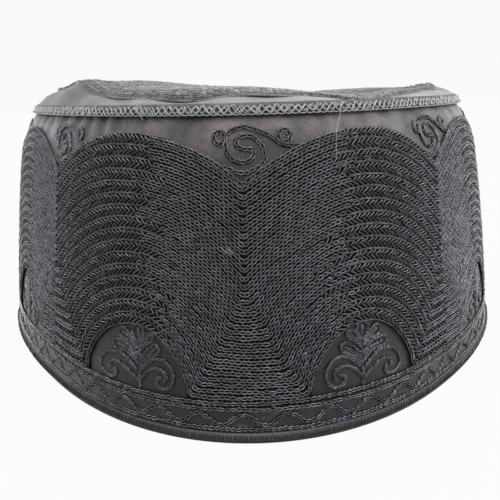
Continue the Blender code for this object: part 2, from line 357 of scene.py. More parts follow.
def degrees_off(angle: np.ndarray, middle: float | np.ndarray) -> np.ndarray:
    """Signed degrees from a middle to other angles, within half a turn."""
    return (angle - middle + 180) % 360 - 180


def line_reach(points: np.ndarray) -> np.ndarray:
    """Length of a line up to each of its points."""
    return np.append(0.0, np.cumsum(np.linalg.norm(np.diff(points, axis=0), axis=1)))


def mesh_points(mesh: bpy.types.Mesh) -> np.ndarray:
    """Read the places of a mesh's points."""
    flat = np.empty(len(mesh.vertices) * 3)
    mesh.vertices.foreach_get("co", flat)
    return flat.reshape(-1, 3)


def cap_angle(points: np.ndarray) -> np.ndarray:
    """Angles of points round the cap, in degrees."""
    return np.degrees(np.arctan2(points[:, 0], -points[:, 1]))


def set_shares(mesh: bpy.types.Mesh, name: str, shares: np.ndarray | float) -> None:
    """Give a mesh's points an attribute that its material reads.

    Args:
        mesh: the mesh.
        name: the attribute's name.
        shares: a number for each point, or one for them all.
    """
    layer = mesh.attributes.new(name, "FLOAT", "POINT")
    layer.data.foreach_set("value", np.broadcast_to(shares, len(mesh.vertices)).astype(float))


def set_thread_map(mesh: bpy.types.Mesh, places: np.ndarray) -> None:
    """Give threads their UV map, which runs along them and round them.

    Args:
        mesh: the threads' mesh.
        places: each point's place on the map.
    """
    corners = np.empty(len(mesh.loops), dtype=np.int32)
    mesh.loops.foreach_get("vertex_index", corners)
    layer = mesh.uv_layers.new(name="Thread")
    layer.data.foreach_set("uv", places[corners].ravel())


@dataclass
class CapShape:
    """The cap's faces, with the sizes of its solids, for whole arrays of angles."""

    rim_half_width: float = 0.0913
    rim_half_depth: float = 0.0970
    wall_height: float = 0.0773
    crown_inset: float = 0.0129
    crown_rise: float = 0.0040
    cloth_depth: float = 0.0013      # the band's cloth under the embroidery's face
    seam_height: float = 0.0018      # from the wall's top to the crown's upper face
    foot_girth: float = 0.590        # of the cloths' outside, for their maps
    dent_spread: float = 0.45        # of a wall dent, as a share of the height
    turn_step: float = 0.5           # half the step over which a slope is read, in degrees
    rise_step: float = 0.3 * MM      # the same, up the wall
    out_step: float = 0.004          # and out over the crown, as a share
    least_rise: float = 0.2          # of the crown's normals, where its roll is steep
    # waves round the cap, share of the ellipse, angle of the first crest
    plan_waves: tuple = ((4, 0.0196, 0.0), (2, 0.0304, 45.0), (3, 0.0160, -11.0))
    # share of the wall's height, share of the inset
    wall_profile: tuple = ((0.00, 0.00), (0.20, 0.12), (0.45, 0.30), (0.70, 0.51),
                           (0.83, 0.65), (0.92, 0.82), (1.00, 1.00))
    # angle, share of the height, spread in degrees, share of the inset
    wall_dents: tuple = ((-42.0, 0.55, 7.0, -0.06), (39.0, 0.60, 8.0, -0.07), (92.0, 0.40, 26.0, 0.06),
                         (-104.0, 0.45, 26.0, 0.06), (150.0, 0.60, 20.0, -0.07))
    # share of the way in, share of the rise
    crown_profile: tuple = ((0.00, 0.00), (0.05, 0.45), (0.14, 0.75), (0.40, 0.60),
                            (0.70, 0.40), (1.00, 0.35))
    # angle, share of the way out, spread, share of the rise
    crown_dents: tuple = ((-66.0, 0.56, 0.40, 1.20), (-50.0, 0.88, 0.12, 0.55), (20.0, 0.45, 0.40, 0.45),
                          (30.0, 0.80, 0.25, -1.00), (75.0, 0.55, 0.32, -0.86), (80.0, 0.86, 0.14, 0.50),
                          (165.0, 0.65, 0.40, -0.60))
    centre: np.ndarray = field(init=False)

    def __post_init__(self) -> None:
        """Find the plan's middle, over which the cap is centred."""
        plan = self.raw_plan(np.arange(STEPS_ROUND) * 360 / STEPS_ROUND)
        self.centre = (plan.min(axis=0) + plan.max(axis=0)) / 2

    def raw_plan(self, angle: np.ndarray) -> np.ndarray:
        """Outside of the rim, before it is centred.

        Args:
            angle: angles in degrees.

        Returns:
            Points in x and y.
        """
        turn = np.radians(angle)
        swell = 1.0 + sum(share * np.cos(waves * np.radians(angle - crest))
                          for waves, share, crest in self.plan_waves)
        return np.stack([self.rim_half_width * swell * np.sin(turn),
                         -self.rim_half_depth * swell * np.cos(turn)], axis=-1)

    def face(self, angle: np.ndarray, height: np.ndarray) -> np.ndarray:
        """Points of the wall's outermost face.

        Args:
            angle: angles in degrees.
            height: heights above the floor.

        Returns:
            Points in x, y and z.
        """
        angle, height = np.broadcast_arrays(np.asarray(angle, float), np.asarray(height, float))
        share = height / self.wall_height
        inset = smooth_table(self.wall_profile, np.minimum(share, 1.0))
        (low, before), (high, last) = self.wall_profile[-2:]
        inset = inset + (last - before) / (high - low) * np.maximum(share - 1.0, 0.0)
        for where, middle, spread, bulge in self.wall_dents:
            across = degrees_off(angle, where) / spread
            inset = inset - bulge * np.exp(-across**2 - ((share - middle) / self.dent_spread)**2)
        rim = self.raw_plan(angle) - self.centre
        reach = np.linalg.norm(rim, axis=-1)
        level = rim * (1 - self.crown_inset * inset / reach)[..., None]
        return np.concatenate([level, height[..., None]], axis=-1)

    def outward(self, angle: np.ndarray, height: np.ndarray) -> np.ndarray:
        """Unit normals of the wall's face.

        Args:
            angle: angles in degrees.
            height: heights above the floor.

        Returns:
            The normals.
        """
        turn, rise = self.turn_step, self.rise_step
        around = self.face(angle + turn, height) - self.face(angle - turn, height)
        upward = self.face(angle, height + rise) - self.face(angle, height - rise)
        return unit(np.cross(around, upward))

    def wall(self, angle: np.ndarray, height: np.ndarray, depth: np.ndarray | float) -> np.ndarray:
        """Points under so thick a layer of the wall's face, at a kept height.

        Args:
            angle: angles in degrees.
            height: heights above the floor.
            depth: thickness of the layer; under 0 the points stand out.

        Returns:
            Points in x, y and z.
        """
        level = self.outward(angle, height)
        level[..., 2] = 0.0
        reach = (level**2).sum(axis=-1)
        return self.face(angle, height) - level * (depth / reach)[..., None]

    def crown_edge(self, angle: np.ndarray) -> np.ndarray:
        """The crown's outer edge."""
        height = np.full_like(np.asarray(angle, float), self.wall_height + self.seam_height)
        return self.wall(angle, height, self.cloth_depth)

    def crown(self, angle: np.ndarray, out: np.ndarray, depth: np.ndarray | float = 0.0) -> np.ndarray:
        """Points of the crown.

        Args:
            angle: angles in degrees.
            out: shares of the way out from the crown's middle.
            depth: how far under the cloth's upper face.

        Returns:
            Points in x, y and z.
        """
        angle, out = np.broadcast_arrays(np.asarray(angle, float), np.asarray(out, float))
        edge = self.crown_edge(angle)
        lift = smooth_table(self.crown_profile, 1.0 - out)
        fade = np.clip((1.0 - out) / self.crown_profile[1][0], 0.0, 1.0)
        for where, middle, spread, height in self.crown_dents:
            turn = np.radians(angle - where)
            apart = out**2 + middle**2 - 2 * out * middle * np.cos(turn)
            lift = lift + fade * height * np.exp(-apart / spread**2)
        z = edge[..., 2] + self.crown_rise * lift - depth
        return np.stack([edge[..., 0] * out, edge[..., 1] * out, z], axis=-1)

    def crown_up(self, angle: np.ndarray, out: np.ndarray) -> np.ndarray:
        """Unit normals of the crown's upper face.

        Args:
            angle: angles in degrees.
            out: shares of the way out from the crown's middle.

        Returns:
            The normals.
        """
        turn, step = self.turn_step, self.out_step
        around = self.crown(angle + turn, out) - self.crown(angle - turn, out)
        inward = self.crown(angle, out - step) - self.crown(angle, out + step)
        normal = unit(np.cross(around, inward))
        normal[..., 2] = np.maximum(normal[..., 2], self.least_rise)
        return unit(normal)


@dataclass
class ArchPlan:
    """Layout of the nine arches, their windows and the valleys between them."""

    shape: CapShape
    count: int = 9
    top: float = 0.0720
    valley_foot: float = 0.0608
    window_base: float = 0.0095
    window_height: float = 0.0175
    window_width: float = 0.0300
    jamb: float = 0.0040
    head_roundness: float = 0.8      # a lower power makes a window's head squarer
    hub: float = 0.0118              # height of the point that the rows turn round
    head_steps: int = 80
    edge_steps: int = 60
    # shift of the valley before each arch, of its middle and of its window, in degrees
    shifts: tuple = ((0.0, 1.0, -1.5), (0.0, 0.0, -1.5), (-2.0, 0.0, 0.0), (-1.0, 0.5, 0.5),
                     (0.5, 0.0, -0.5), (2.0, -0.5, 0.0), (1.0, 0.0, 0.5), (0.0, 0.0, 2.0),
                     (-2.0, 1.5, 3.5))
    half: float = field(init=False)

    def __post_init__(self) -> None:
        """Measure half an even arch along the wall at its middle height."""
        around = np.arange(STEPS_ROUND + 1) * 360 / STEPS_ROUND
        ring = self.shape.face(around, np.full(len(around), self.top / 2))
        girth = np.linalg.norm(np.diff(ring, axis=0), axis=1).sum()
        self.half = girth / self.count / 2

    @property
    def degree(self) -> float:
        """Length of one degree along the wall."""
        return 2 * self.half * self.count / 360

    def valley(self, arch: int) -> float:
        """Angle of the valley before an arch."""
        return arch * 360 / self.count + self.shifts[arch % self.count][0]

    def angle(self, arch: int, across: np.ndarray, height: np.ndarray) -> np.ndarray:
        """Angles of places over one arch.

        Args:
            arch: number of the arch, from 0.
            across: lengths from its middle, to the half arch at each valley.
            height: heights above the floor.

        Returns:
            Angles in degrees.
        """
        first, last = self.valley(arch), self.valley(arch + 1)
        head = self.window_base + self.window_height
        rise = np.clip((height - head) / (self.top - head), 0.0, 1.0)
        rise = rise * rise * (3 - 2 * rise)
        _, over, under = self.shifts[arch]
        middle = (first + last) / 2 + under + (over - under) * rise
        side = np.where(across > 0, last, first)
        return middle + (side - middle) * np.abs(across) / self.half

    def scallop(self, across: np.ndarray) -> np.ndarray:
        """Height of the arches' upper edge, a circle from valley to valley.

        Args:
            across: lengths from an arch's middle.

        Returns:
            The heights.
        """
        drop = self.top - self.valley_foot
        radius = (self.half**2 + drop**2) / (2 * drop)
        return self.top - radius + np.sqrt(radius**2 - np.minimum(across**2, radius**2))

    def head(self, across: np.ndarray) -> np.ndarray:
        """Height of a window's head.

        Args:
            across: lengths from the window's middle.

        Returns:
            The heights.
        """
        off = np.minimum(np.abs(across) / (self.window_width / 2), 1.0)
        arch = (1.0 - off**2)**self.head_roundness
        return self.window_base + self.jamb + (self.window_height - self.jamb) * arch

    def inner_reach(self, turn: np.ndarray) -> np.ndarray:
        """Distance from the hub to the window's outline.

        Args:
            turn: angles off upright, in radians.

        Returns:
            The distances.
        """
        side = self.window_width / 2
        across = side * np.sin(np.linspace(0, math.pi / 2, self.head_steps))
        rise = self.head(across) - self.hub
        turns = np.append(np.arctan2(across, rise), math.pi)
        reach = np.append(np.hypot(across, rise), side)
        level = side / np.maximum(np.sin(np.abs(turn)), 0.2)
        low = np.abs(turn) > math.atan2(side, self.jamb + self.window_base - self.hub)
        return np.where(low, level, np.interp(np.abs(turn), turns, reach))

    def outer_reach(self, turn: np.ndarray) -> np.ndarray:
        """Distance from the hub to the scalloped edge, carried on past the valleys.

        Args:
            turn: angles off upright, in radians.

        Returns:
            The distances.
        """
        across = np.linspace(0, self.half, self.edge_steps)
        rise = self.scallop(across) - self.hub
        return np.interp(np.abs(turn), np.arctan2(across, rise), np.hypot(across, rise))


def spaced(points: np.ndarray, gap: float) -> np.ndarray:
    """Points spaced evenly along a line.

    Args:
        points: the line's points.
        gap: about how far apart the new ones lie.

    Returns:
        The new points, with both ends kept.
    """
    reach = line_reach(points)
    count = max(1, round(reach[-1] / gap))
    at = np.linspace(0.0, reach[-1], count + 1)
    return np.stack([np.interp(at, reach, column) for column in points.T], axis=-1)


def rounded(points: np.ndarray, reach: int) -> np.ndarray:
    """Round a line's corners by averaging each point with its neighbours.

    Args:
        points: the line's points.
        reach: how many neighbours count on each side.

    Returns:
        The rounded line's points.
    """
    kernel = np.ones(2 * reach + 1) / (2 * reach + 1)
    inner = [np.convolve(np.pad(column, reach, mode="edge"), kernel, mode="valid")
             for column in points.T]
    result = np.stack(inner, axis=-1)
    result[0], result[-1] = points[0], points[-1]
    return result


def curved(points: list, steps: int = 10) -> np.ndarray:
    """A smooth curve through a few points.

    Args:
        points: the points, each with as many numbers as the line has dimensions.
        steps: points for each stretch between two given points.

    Returns:
        The curve's points.
    """
    given = np.array(points, float)
    padded = np.concatenate([2 * given[:1] - given[1:2], given, 2 * given[-1:] - given[-2:-1]])
    share = np.linspace(0.0, 1.0, steps, endpoint=False)[:, None]
    spans = []
    for p0, p1, p2, p3 in zip(padded, padded[1:], padded[2:], padded[3:]):
        spans.append(0.5 * (2 * p1 + (p2 - p0) * share + (2 * p0 - 5 * p1 + 4 * p2 - p3) * share**2
                            + (3 * p1 - p0 - 3 * p2 + p3) * share**3))
    return np.concatenate(spans + [padded[-2][None]])


@dataclass
class Template:
    """A small closed mesh that stitches repeat: x runs along, y across and z out."""

    verts: np.ndarray
    faces: list
    uvs: np.ndarray


@dataclass
class Stitch:
    """One stitch: legs of thread that bow apart and end under the next stitch."""

    pitch: float = 1.38 * MM
    thread: float = 0.40 * MM
    spread: float = 0.37 * MM        # how far each leg bows out
    start_gap: float = 0.10 * MM     # half the gap between the legs where they come up
    back: float = 0.08               # share of the pitch by which they start before their place
    tuck: float = 0.16               # and by which they reach under the next stitch
    lean: float = 0.26 * MM          # how much higher a stitch starts than it ends
    level: float = 0.7               # the share of its length where the lean is at rest
    lift: float = 0.42               # height of its middle line, in threads
    stations: tuple = (0.16, 0.52, 0.88)     # shares of its length where a leg bends
    sides: int = 3
    legs: tuple = (-1, 1)
    girths: tuple = (1.0, 1.0)
    end_girth: float = 0.74          # of a leg's ends, as a share of its middle's
    sinks: tuple = (0.10, 0.25)      # how far its two ends dip, in threads

    def leg_path(self, share: float, side: int) -> np.ndarray:
        """A point of one leg's centre line.

        Args:
            share: how far along the stitch, from 0 to 1.
            side: -1 or 1, the leg.

        Returns:
            The point.
        """
        bow = math.sin(math.pi * share**1.2) ** 0.8
        return np.array([self.pitch * (-self.back + (1 + self.back + self.tuck) * share),
                         side * (self.start_gap * (1 - 0.5 * share) + self.spread * bow),
                         self.thread * self.lift + self.lean * (self.level - share)])

    def template(self) -> Template:
        """Model the stitch once.

        Returns:
            The small mesh that rows repeat.
        """
        bm = bmesh.new()
        uvs = []
        for side in self.legs:
            rings = []
            for share in self.stations:
                middle = self.leg_path(share, side)
                girth = self.end_girth + (1 - self.end_girth) * math.sin(math.pi * share)
                girth *= self.thread / 2 * self.girths[side > 0]
                ring = []
                for corner in range(self.sides):
                    turn = math.tau * (corner / self.sides + 0.25)
                    offset = np.array([0.0, math.cos(turn), math.sin(turn)]) * girth
                    ring.append(bm.verts.new(middle + offset))
                    uvs.append((share, corner / self.sides))
                rings.append(ring)
            ends = []
            for share, sink in zip((0.0, 1.0), self.sinks):
                point = self.leg_path(share, side)
                point[2] -= self.thread * sink
                ends.append(bm.verts.new(point))
                uvs.append((share, 0.0))
            for one, other in zip(rings, rings[1:]):
                for corner in range(self.sides):
                    after = (corner + 1) % self.sides
                    bm.faces.new((one[corner], one[after], other[after], other[corner]))
            for corner in range(self.sides):
                after = (corner + 1) % self.sides
                bm.faces.new((ends[0], rings[0][after], rings[0][corner]))
                bm.faces.new((ends[1], rings[-1][corner], rings[-1][after]))
        bm.normal_update()
        bmesh.ops.recalc_face_normals(bm, faces=bm.faces)
        bm.verts.index_update()
        verts = np.array([vert.co[:] for vert in bm.verts])
        faces = [[vert.index for vert in face.verts] for face in bm.faces]
        bm.free()
        return Template(verts, faces, np.array(uvs))


@dataclass
class SlantStitch(Stitch):
    """A stitch of rows sewn in pairs.

    One leg lies straight along the pair's outside, and the other slants to the other row, so
    that a pair shows a line of arrowheads between two cords.
    """

    thread: float = 0.42 * MM
    edge: float = 0.60 * MM          # the straight leg's distance from the row's line
    slant: tuple = (-0.40 * MM, 0.80 * MM)
    girths: tuple = (0.72, 1.0)      # of the straight leg and the slanted one
    edge_lean: float = 0.20 * MM
    bows: tuple = (0.07 * MM, 0.12 * MM)     # of the straight leg outwards, of the slanted one up

    def leg_path(self, share: float, side: int) -> np.ndarray:
        """A point of one leg's centre line.

        Args:
            share: how far along the stitch, from 0 to 1.
            side: -1 for the straight leg, 1 for the slanted one.

        Returns:
            The point.
        """
        bow = math.sin(math.pi * share)
        if side < 0:
            return np.array([self.pitch * (-0.06 + 1.16 * share), -self.edge - self.bows[0] * bow,
                             self.thread * 0.34 + self.edge_lean * (self.level - share)])
        return np.array([self.pitch * (-0.10 + 1.12 * share),
                         self.slant[0] + (self.slant[1] - self.slant[0]) * share,
                         self.thread * 0.50 + self.lean * (0.55 - share) + self.bows[1] * bow])


FINE_BENDS = (0.16, 0.52, 0.88)      # a leg's stations, where the photo shows stitches from near
COARSE_BENDS = (0.25, 0.75)          # and elsewhere, to keep their faces few
PALMETTE_STITCH = Stitch(pitch=1.15 * MM, thread=0.32 * MM, spread=0.22 * MM, start_gap=0.07 * MM,
                         lean=0.18 * MM)
SCROLL_STITCH = Stitch(pitch=1.35 * MM, thread=0.41 * MM, spread=0.36 * MM)
BORDER_STITCH = Stitch(thread=0.36 * MM, spread=0.31 * MM)
RING_STITCH = Stitch(pitch=1.65 * MM, thread=0.46 * MM, spread=0.34 * MM, lean=0.12 * MM,
                     stations=COARSE_BENDS)
WHIP_STITCH = Stitch(pitch=2.0 * MM, thread=0.50 * MM, spread=0.0, start_gap=0.0, lean=0.0,
                     tuck=0.0, legs=(1,))


@dataclass
class Embroidery:
    """The stitches of one piece, gathered row by row and joined into one mesh."""

    stitch: Stitch
    seed: int
    other: Stitch | None = None      # a stitch with as many points that parts of its rows may use
    # how uneven the sewing is
    step_spread: float = 0.09        # of where stitches start, in shares of the pitch
    lean_spread: float = 0.16        # of their lean to a side
    side_spread: float = 0.055 * MM
    lift_spread: float = 0.04 * MM
    tone_spread: float = 0.30
    girth_spread: float = 0.06
    rows: list[tuple[np.ndarray, ...]] = field(default_factory=list)
    chance: np.random.Generator = field(init=False)

    def __post_init__(self) -> None:
        """Fix the piece's own unevenness."""
        self.chance = np.random.default_rng(self.seed)

    def sew(self, points: np.ndarray, outs: np.ndarray, way: Way = Way.ONWARD,
            tone: float = 0.3, turned: bool = False, others: np.ndarray | None = None) -> None:
        """Sew one row along a line.

        Args:
            points: the line's points.
            outs: unit vectors away from the cloth at each.
            way: which way the row runs.
            tone: how light its thread is, from 0 to 1.
            turned: whether its stitches are the stitch's mirror image.
            others: at each point, the share of the other stitch, from 0 to 1.
        """
        draw = self.chance.normal
        line = np.concatenate([points, outs], axis=1)[::way.value]
        reach = line_reach(line[:, :3])
        count = max(1, round(reach[-1] / self.stitch.pitch))
        at = np.linspace(0.0, reach[-1], count + 1)
        at[1:-1] += draw(0, self.step_spread, count - 1) * self.stitch.pitch
        knots = np.stack([np.interp(at, reach, column) for column in line.T], axis=-1)
        along = knots[1:, :3] - knots[:-1, :3]
        length = np.linalg.norm(along, axis=1)
        along = unit(along)
        out = unit(knots[1:, 3:] + knots[:-1, 3:])
        out = unit(out - along * (out * along).sum(axis=1, keepdims=True))
        out = unit(out + np.cross(out, along) * draw(0, self.lean_spread, (count, 1)))
        starts = knots[:-1, :3] + np.cross(out, along) * draw(0, self.side_spread, (count, 1))
        starts += out * draw(0, self.lift_spread, (count, 1))
        tones = tone + draw(0, self.tone_spread, count)
        other = np.zeros(count, dtype=bool)
        if others is not None:
            other = self.chance.random(count) < np.interp(at[:-1], reach, others[::way.value])
        self.rows.append((starts, along, out, length, tones, np.full(count, turned), other))

    def finish(self, name: str, material: bpy.types.Material) -> bpy.types.Object:
        """Join the rows into one object.

        Args:
            name: the piece's name.
            material: its thread.

        Returns:
            The piece, its place in its mesh.
        """
        starts, along, out, length, tones, turned, other = map(np.concatenate, zip(*self.rows))
        template = self.stitch.template()
        count = len(starts)
        side = np.cross(out, along)
        girth = 1.0 + self.chance.normal(0, self.girth_spread, count)
        both = np.stack([template.verts, (self.other or self.stitch).template().verts])
        x, y, z = np.moveaxis(both[other.astype(int)], 2, 0)
        stretch = length / self.stitch.pitch
        verts = (starts[:, None] + along[:, None] * (x * stretch[:, None])[..., None]
                 + side[:, None] * (y * np.where(turned, -girth, girth)[:, None])[..., None]
                 + out[:, None] * (z * girth[:, None])[..., None]).reshape(-1, 3)
        offsets = np.arange(count)[:, None, None] * len(template.verts)
        faces = []
        for corners in (3, 4):
            kind = np.array([face for face in template.faces if len(face) == corners])
            kind = np.where(turned[:, None, None], kind[None, :, ::-1], kind[None])
            faces += (kind + offsets).reshape(-1, corners).tolist()
        piece = mesh_object(name, verts, faces, material)
        set_shares(piece.data, "tone", np.repeat(np.clip(tones, 0, 1), len(template.verts)))
        set_thread_map(piece.data, np.tile(template.uvs, (count, 1)))
        LOG.info("%s: %d stitches", name, count)
        return piece


def mesh_object(name: str, verts: np.ndarray, faces: list,
                material: bpy.types.Material) -> bpy.types.Object:
    """Make a smooth object from arrays.

    Args:
        name: the piece's name.
        verts: its points.
        faces: its faces, as lists of point numbers.
        material: its material.

    Returns:
        The object, linked to the scene.
    """
    mesh = bpy.data.meshes.new(name)
    mesh.from_pydata(verts.tolist(), [], faces)
    mesh.shade_smooth()
    mesh.materials.append(material)
    piece = bpy.data.objects.new(name, mesh)
    bpy.context.scene.collection.objects.link(piece)
    return piece


def deselect_all() -> None:
    """Deselect every object."""
    for thing in bpy.context.view_layer.objects:
        thing.select_set(False)


def wrapped_cloth(name: str, columns: int, rows: int, size: tuple[float, float],
                  place: Callable[[np.ndarray, np.ndarray], np.ndarray],
                  material: bpy.types.Material, thickness: float = 0.0,
                  cut_out: Callable[[np.ndarray, np.ndarray], np.ndarray] | None = None) -> bpy.types.Object:
    """Cut a flat cloth, wrap it round the cap and sew its ends together.

    Args:
        name: the piece's name.
        columns: how often it is divided along.
        rows: how often it is divided across.
        size: its flat length and width, for its UV map.
        place: turns shares along and across the flat cloth into points on the cap.
        material: its material.
        thickness: thickness that it gets inwards, or 0 for a piece that is closed already.
        cut_out: says which faces are cut away, from the shares of their middles.

    Returns:
        The wrapped piece.
    """
    deselect_all()
    bpy.ops.mesh.primitive_grid_add(x_subdivisions=columns, y_subdivisions=rows, size=1.0)
    piece = bpy.context.object
    piece.name = name
    mesh = piece.data
    mesh.name = name
    along, across = mesh_points(mesh)[:, :2].T + 0.5
    layer = mesh.uv_layers[0]
    layer.name = "Cloth"
    uvs = np.empty(len(layer.data) * 2)
    layer.data.foreach_get("uv", uvs)
    layer.data.foreach_set("uv", (uvs.reshape(-1, 2) * np.array(size)).ravel())
    mesh.vertices.foreach_set("co", place(along, across).ravel())
    if cut_out:
        cut_faces(mesh, cut_out, along, across)
    bpy.ops.object.mode_set(mode="EDIT")
    bpy.ops.mesh.select_all(action="SELECT")
    bpy.ops.mesh.remove_doubles(threshold=SEWN)
    if not thickness:
        bpy.ops.mesh.normals_make_consistent(inside=False)
    bpy.ops.object.mode_set(mode="OBJECT")
    if thickness:
        wall = piece.modifiers.new("cloth", "SOLIDIFY")
        wall.thickness = thickness
        wall.offset = -1.0
        wall.use_even_offset = True
        bpy.ops.object.modifier_apply(modifier=wall.name)
    mesh.materials.append(material)
    bpy.ops.object.shade_smooth_by_angle(angle=math.radians(SHARP))
    deselect_all()
    return piece


def cut_faces(mesh: bpy.types.Mesh, cut_out: Callable[[np.ndarray, np.ndarray], np.ndarray],
              along: np.ndarray, across: np.ndarray) -> None:
    """Cut faces out of a cloth that is still a flat grid in its numbering.

    Args:
        mesh: the cloth.
        cut_out: says which faces go, from the shares of their middles.
        along: each point's share along.
        across: each point's share across.
    """
    bm = bmesh.new()
    bm.from_mesh(mesh)
    middles = np.array([[np.mean([along[v.index] for v in face.verts]),
                         np.mean([across[v.index] for v in face.verts])] for face in bm.faces])
    gone = cut_out(middles[:, 0], middles[:, 1])
    bmesh.ops.delete(bm, geom=[face for face, cut in zip(bm.faces, gone) if cut], context="FACES")
    bm.to_mesh(mesh)
    bm.free()


def thread_tubes(name: str, lines: list[tuple[np.ndarray, np.ndarray]], thick: float,
                 material: bpy.types.Material, closed: bool, sides: int = 4,
                 tone: float = 0.5, flatness: float = 1.0) -> bpy.types.Object:
    """Lay threads along lines.

    Args:
        name: the piece's name.
        lines: points and unit vectors away from the cloth, for each thread.
        thick: the threads' diameter.
        material: their material.
        closed: whether each thread comes back to its start.
        sides: corners of their section.
        tone: how light they are, from 0 to 1.
        flatness: their height as a share of their diameter.

    Returns:
        One object of all the threads.
    """
    verts, faces, uvs = [], [], []
    for points, outs in lines:
        count = len(points)
        base = sum(len(part) for part in verts)
        ahead = np.roll(points, -1, axis=0) - np.roll(points, 1, axis=0)
        if not closed:
            ahead[0], ahead[-1] = points[1] - points[0], points[-1] - points[-2]
        along = unit(ahead)
        side = unit(np.cross(outs, along))
        out = np.cross(along, side)
        turns = np.arange(sides) / sides * math.tau
        ring = (side[:, None] * np.cos(turns)[None, :, None]
                + out[:, None] * np.sin(turns)[None, :, None] * flatness)
        reach = line_reach(points)
        verts.append((points[:, None] + ring * thick / 2).reshape(-1, 3))
        uvs.append(np.stack(np.broadcast_arrays(reach[:, None] / (PLY_TURN * thick),
                                                np.arange(sides)[None] / sides), axis=-1).reshape(-1, 2))
        steps = count if closed else count - 1
        for step in range(steps):
            one, other = base + step * sides, base + (step + 1) % count * sides
            faces += [(one + k, one + (k + 1) % sides, other + (k + 1) % sides, other + k)
                      for k in range(sides)]
        if not closed:
            faces.append(tuple(base + k for k in reversed(range(sides))))
            faces.append(tuple(base + (count - 1) * sides + k for k in range(sides)))
    piece = mesh_object(name, np.concatenate(verts), faces, material)
    set_shares(piece.data, "tone", tone)
    set_thread_map(piece.data, np.concatenate(uvs))
    return piece


def place_piece(piece: bpy.types.Object, slot: Slot, *nodes: str) -> bpy.types.Object:
    """Fix a piece to the cap.

    Args:
        piece: the piece.
        slot: the record's material slot for the piece; not used.
        nodes: the solids that it replaces.

    Returns:
        The same piece.
    """
    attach(piece, BODY)
    if nodes:
        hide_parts(*nodes)
    LOG.info("%s rides on %s", piece.name, BODY)
    return piece


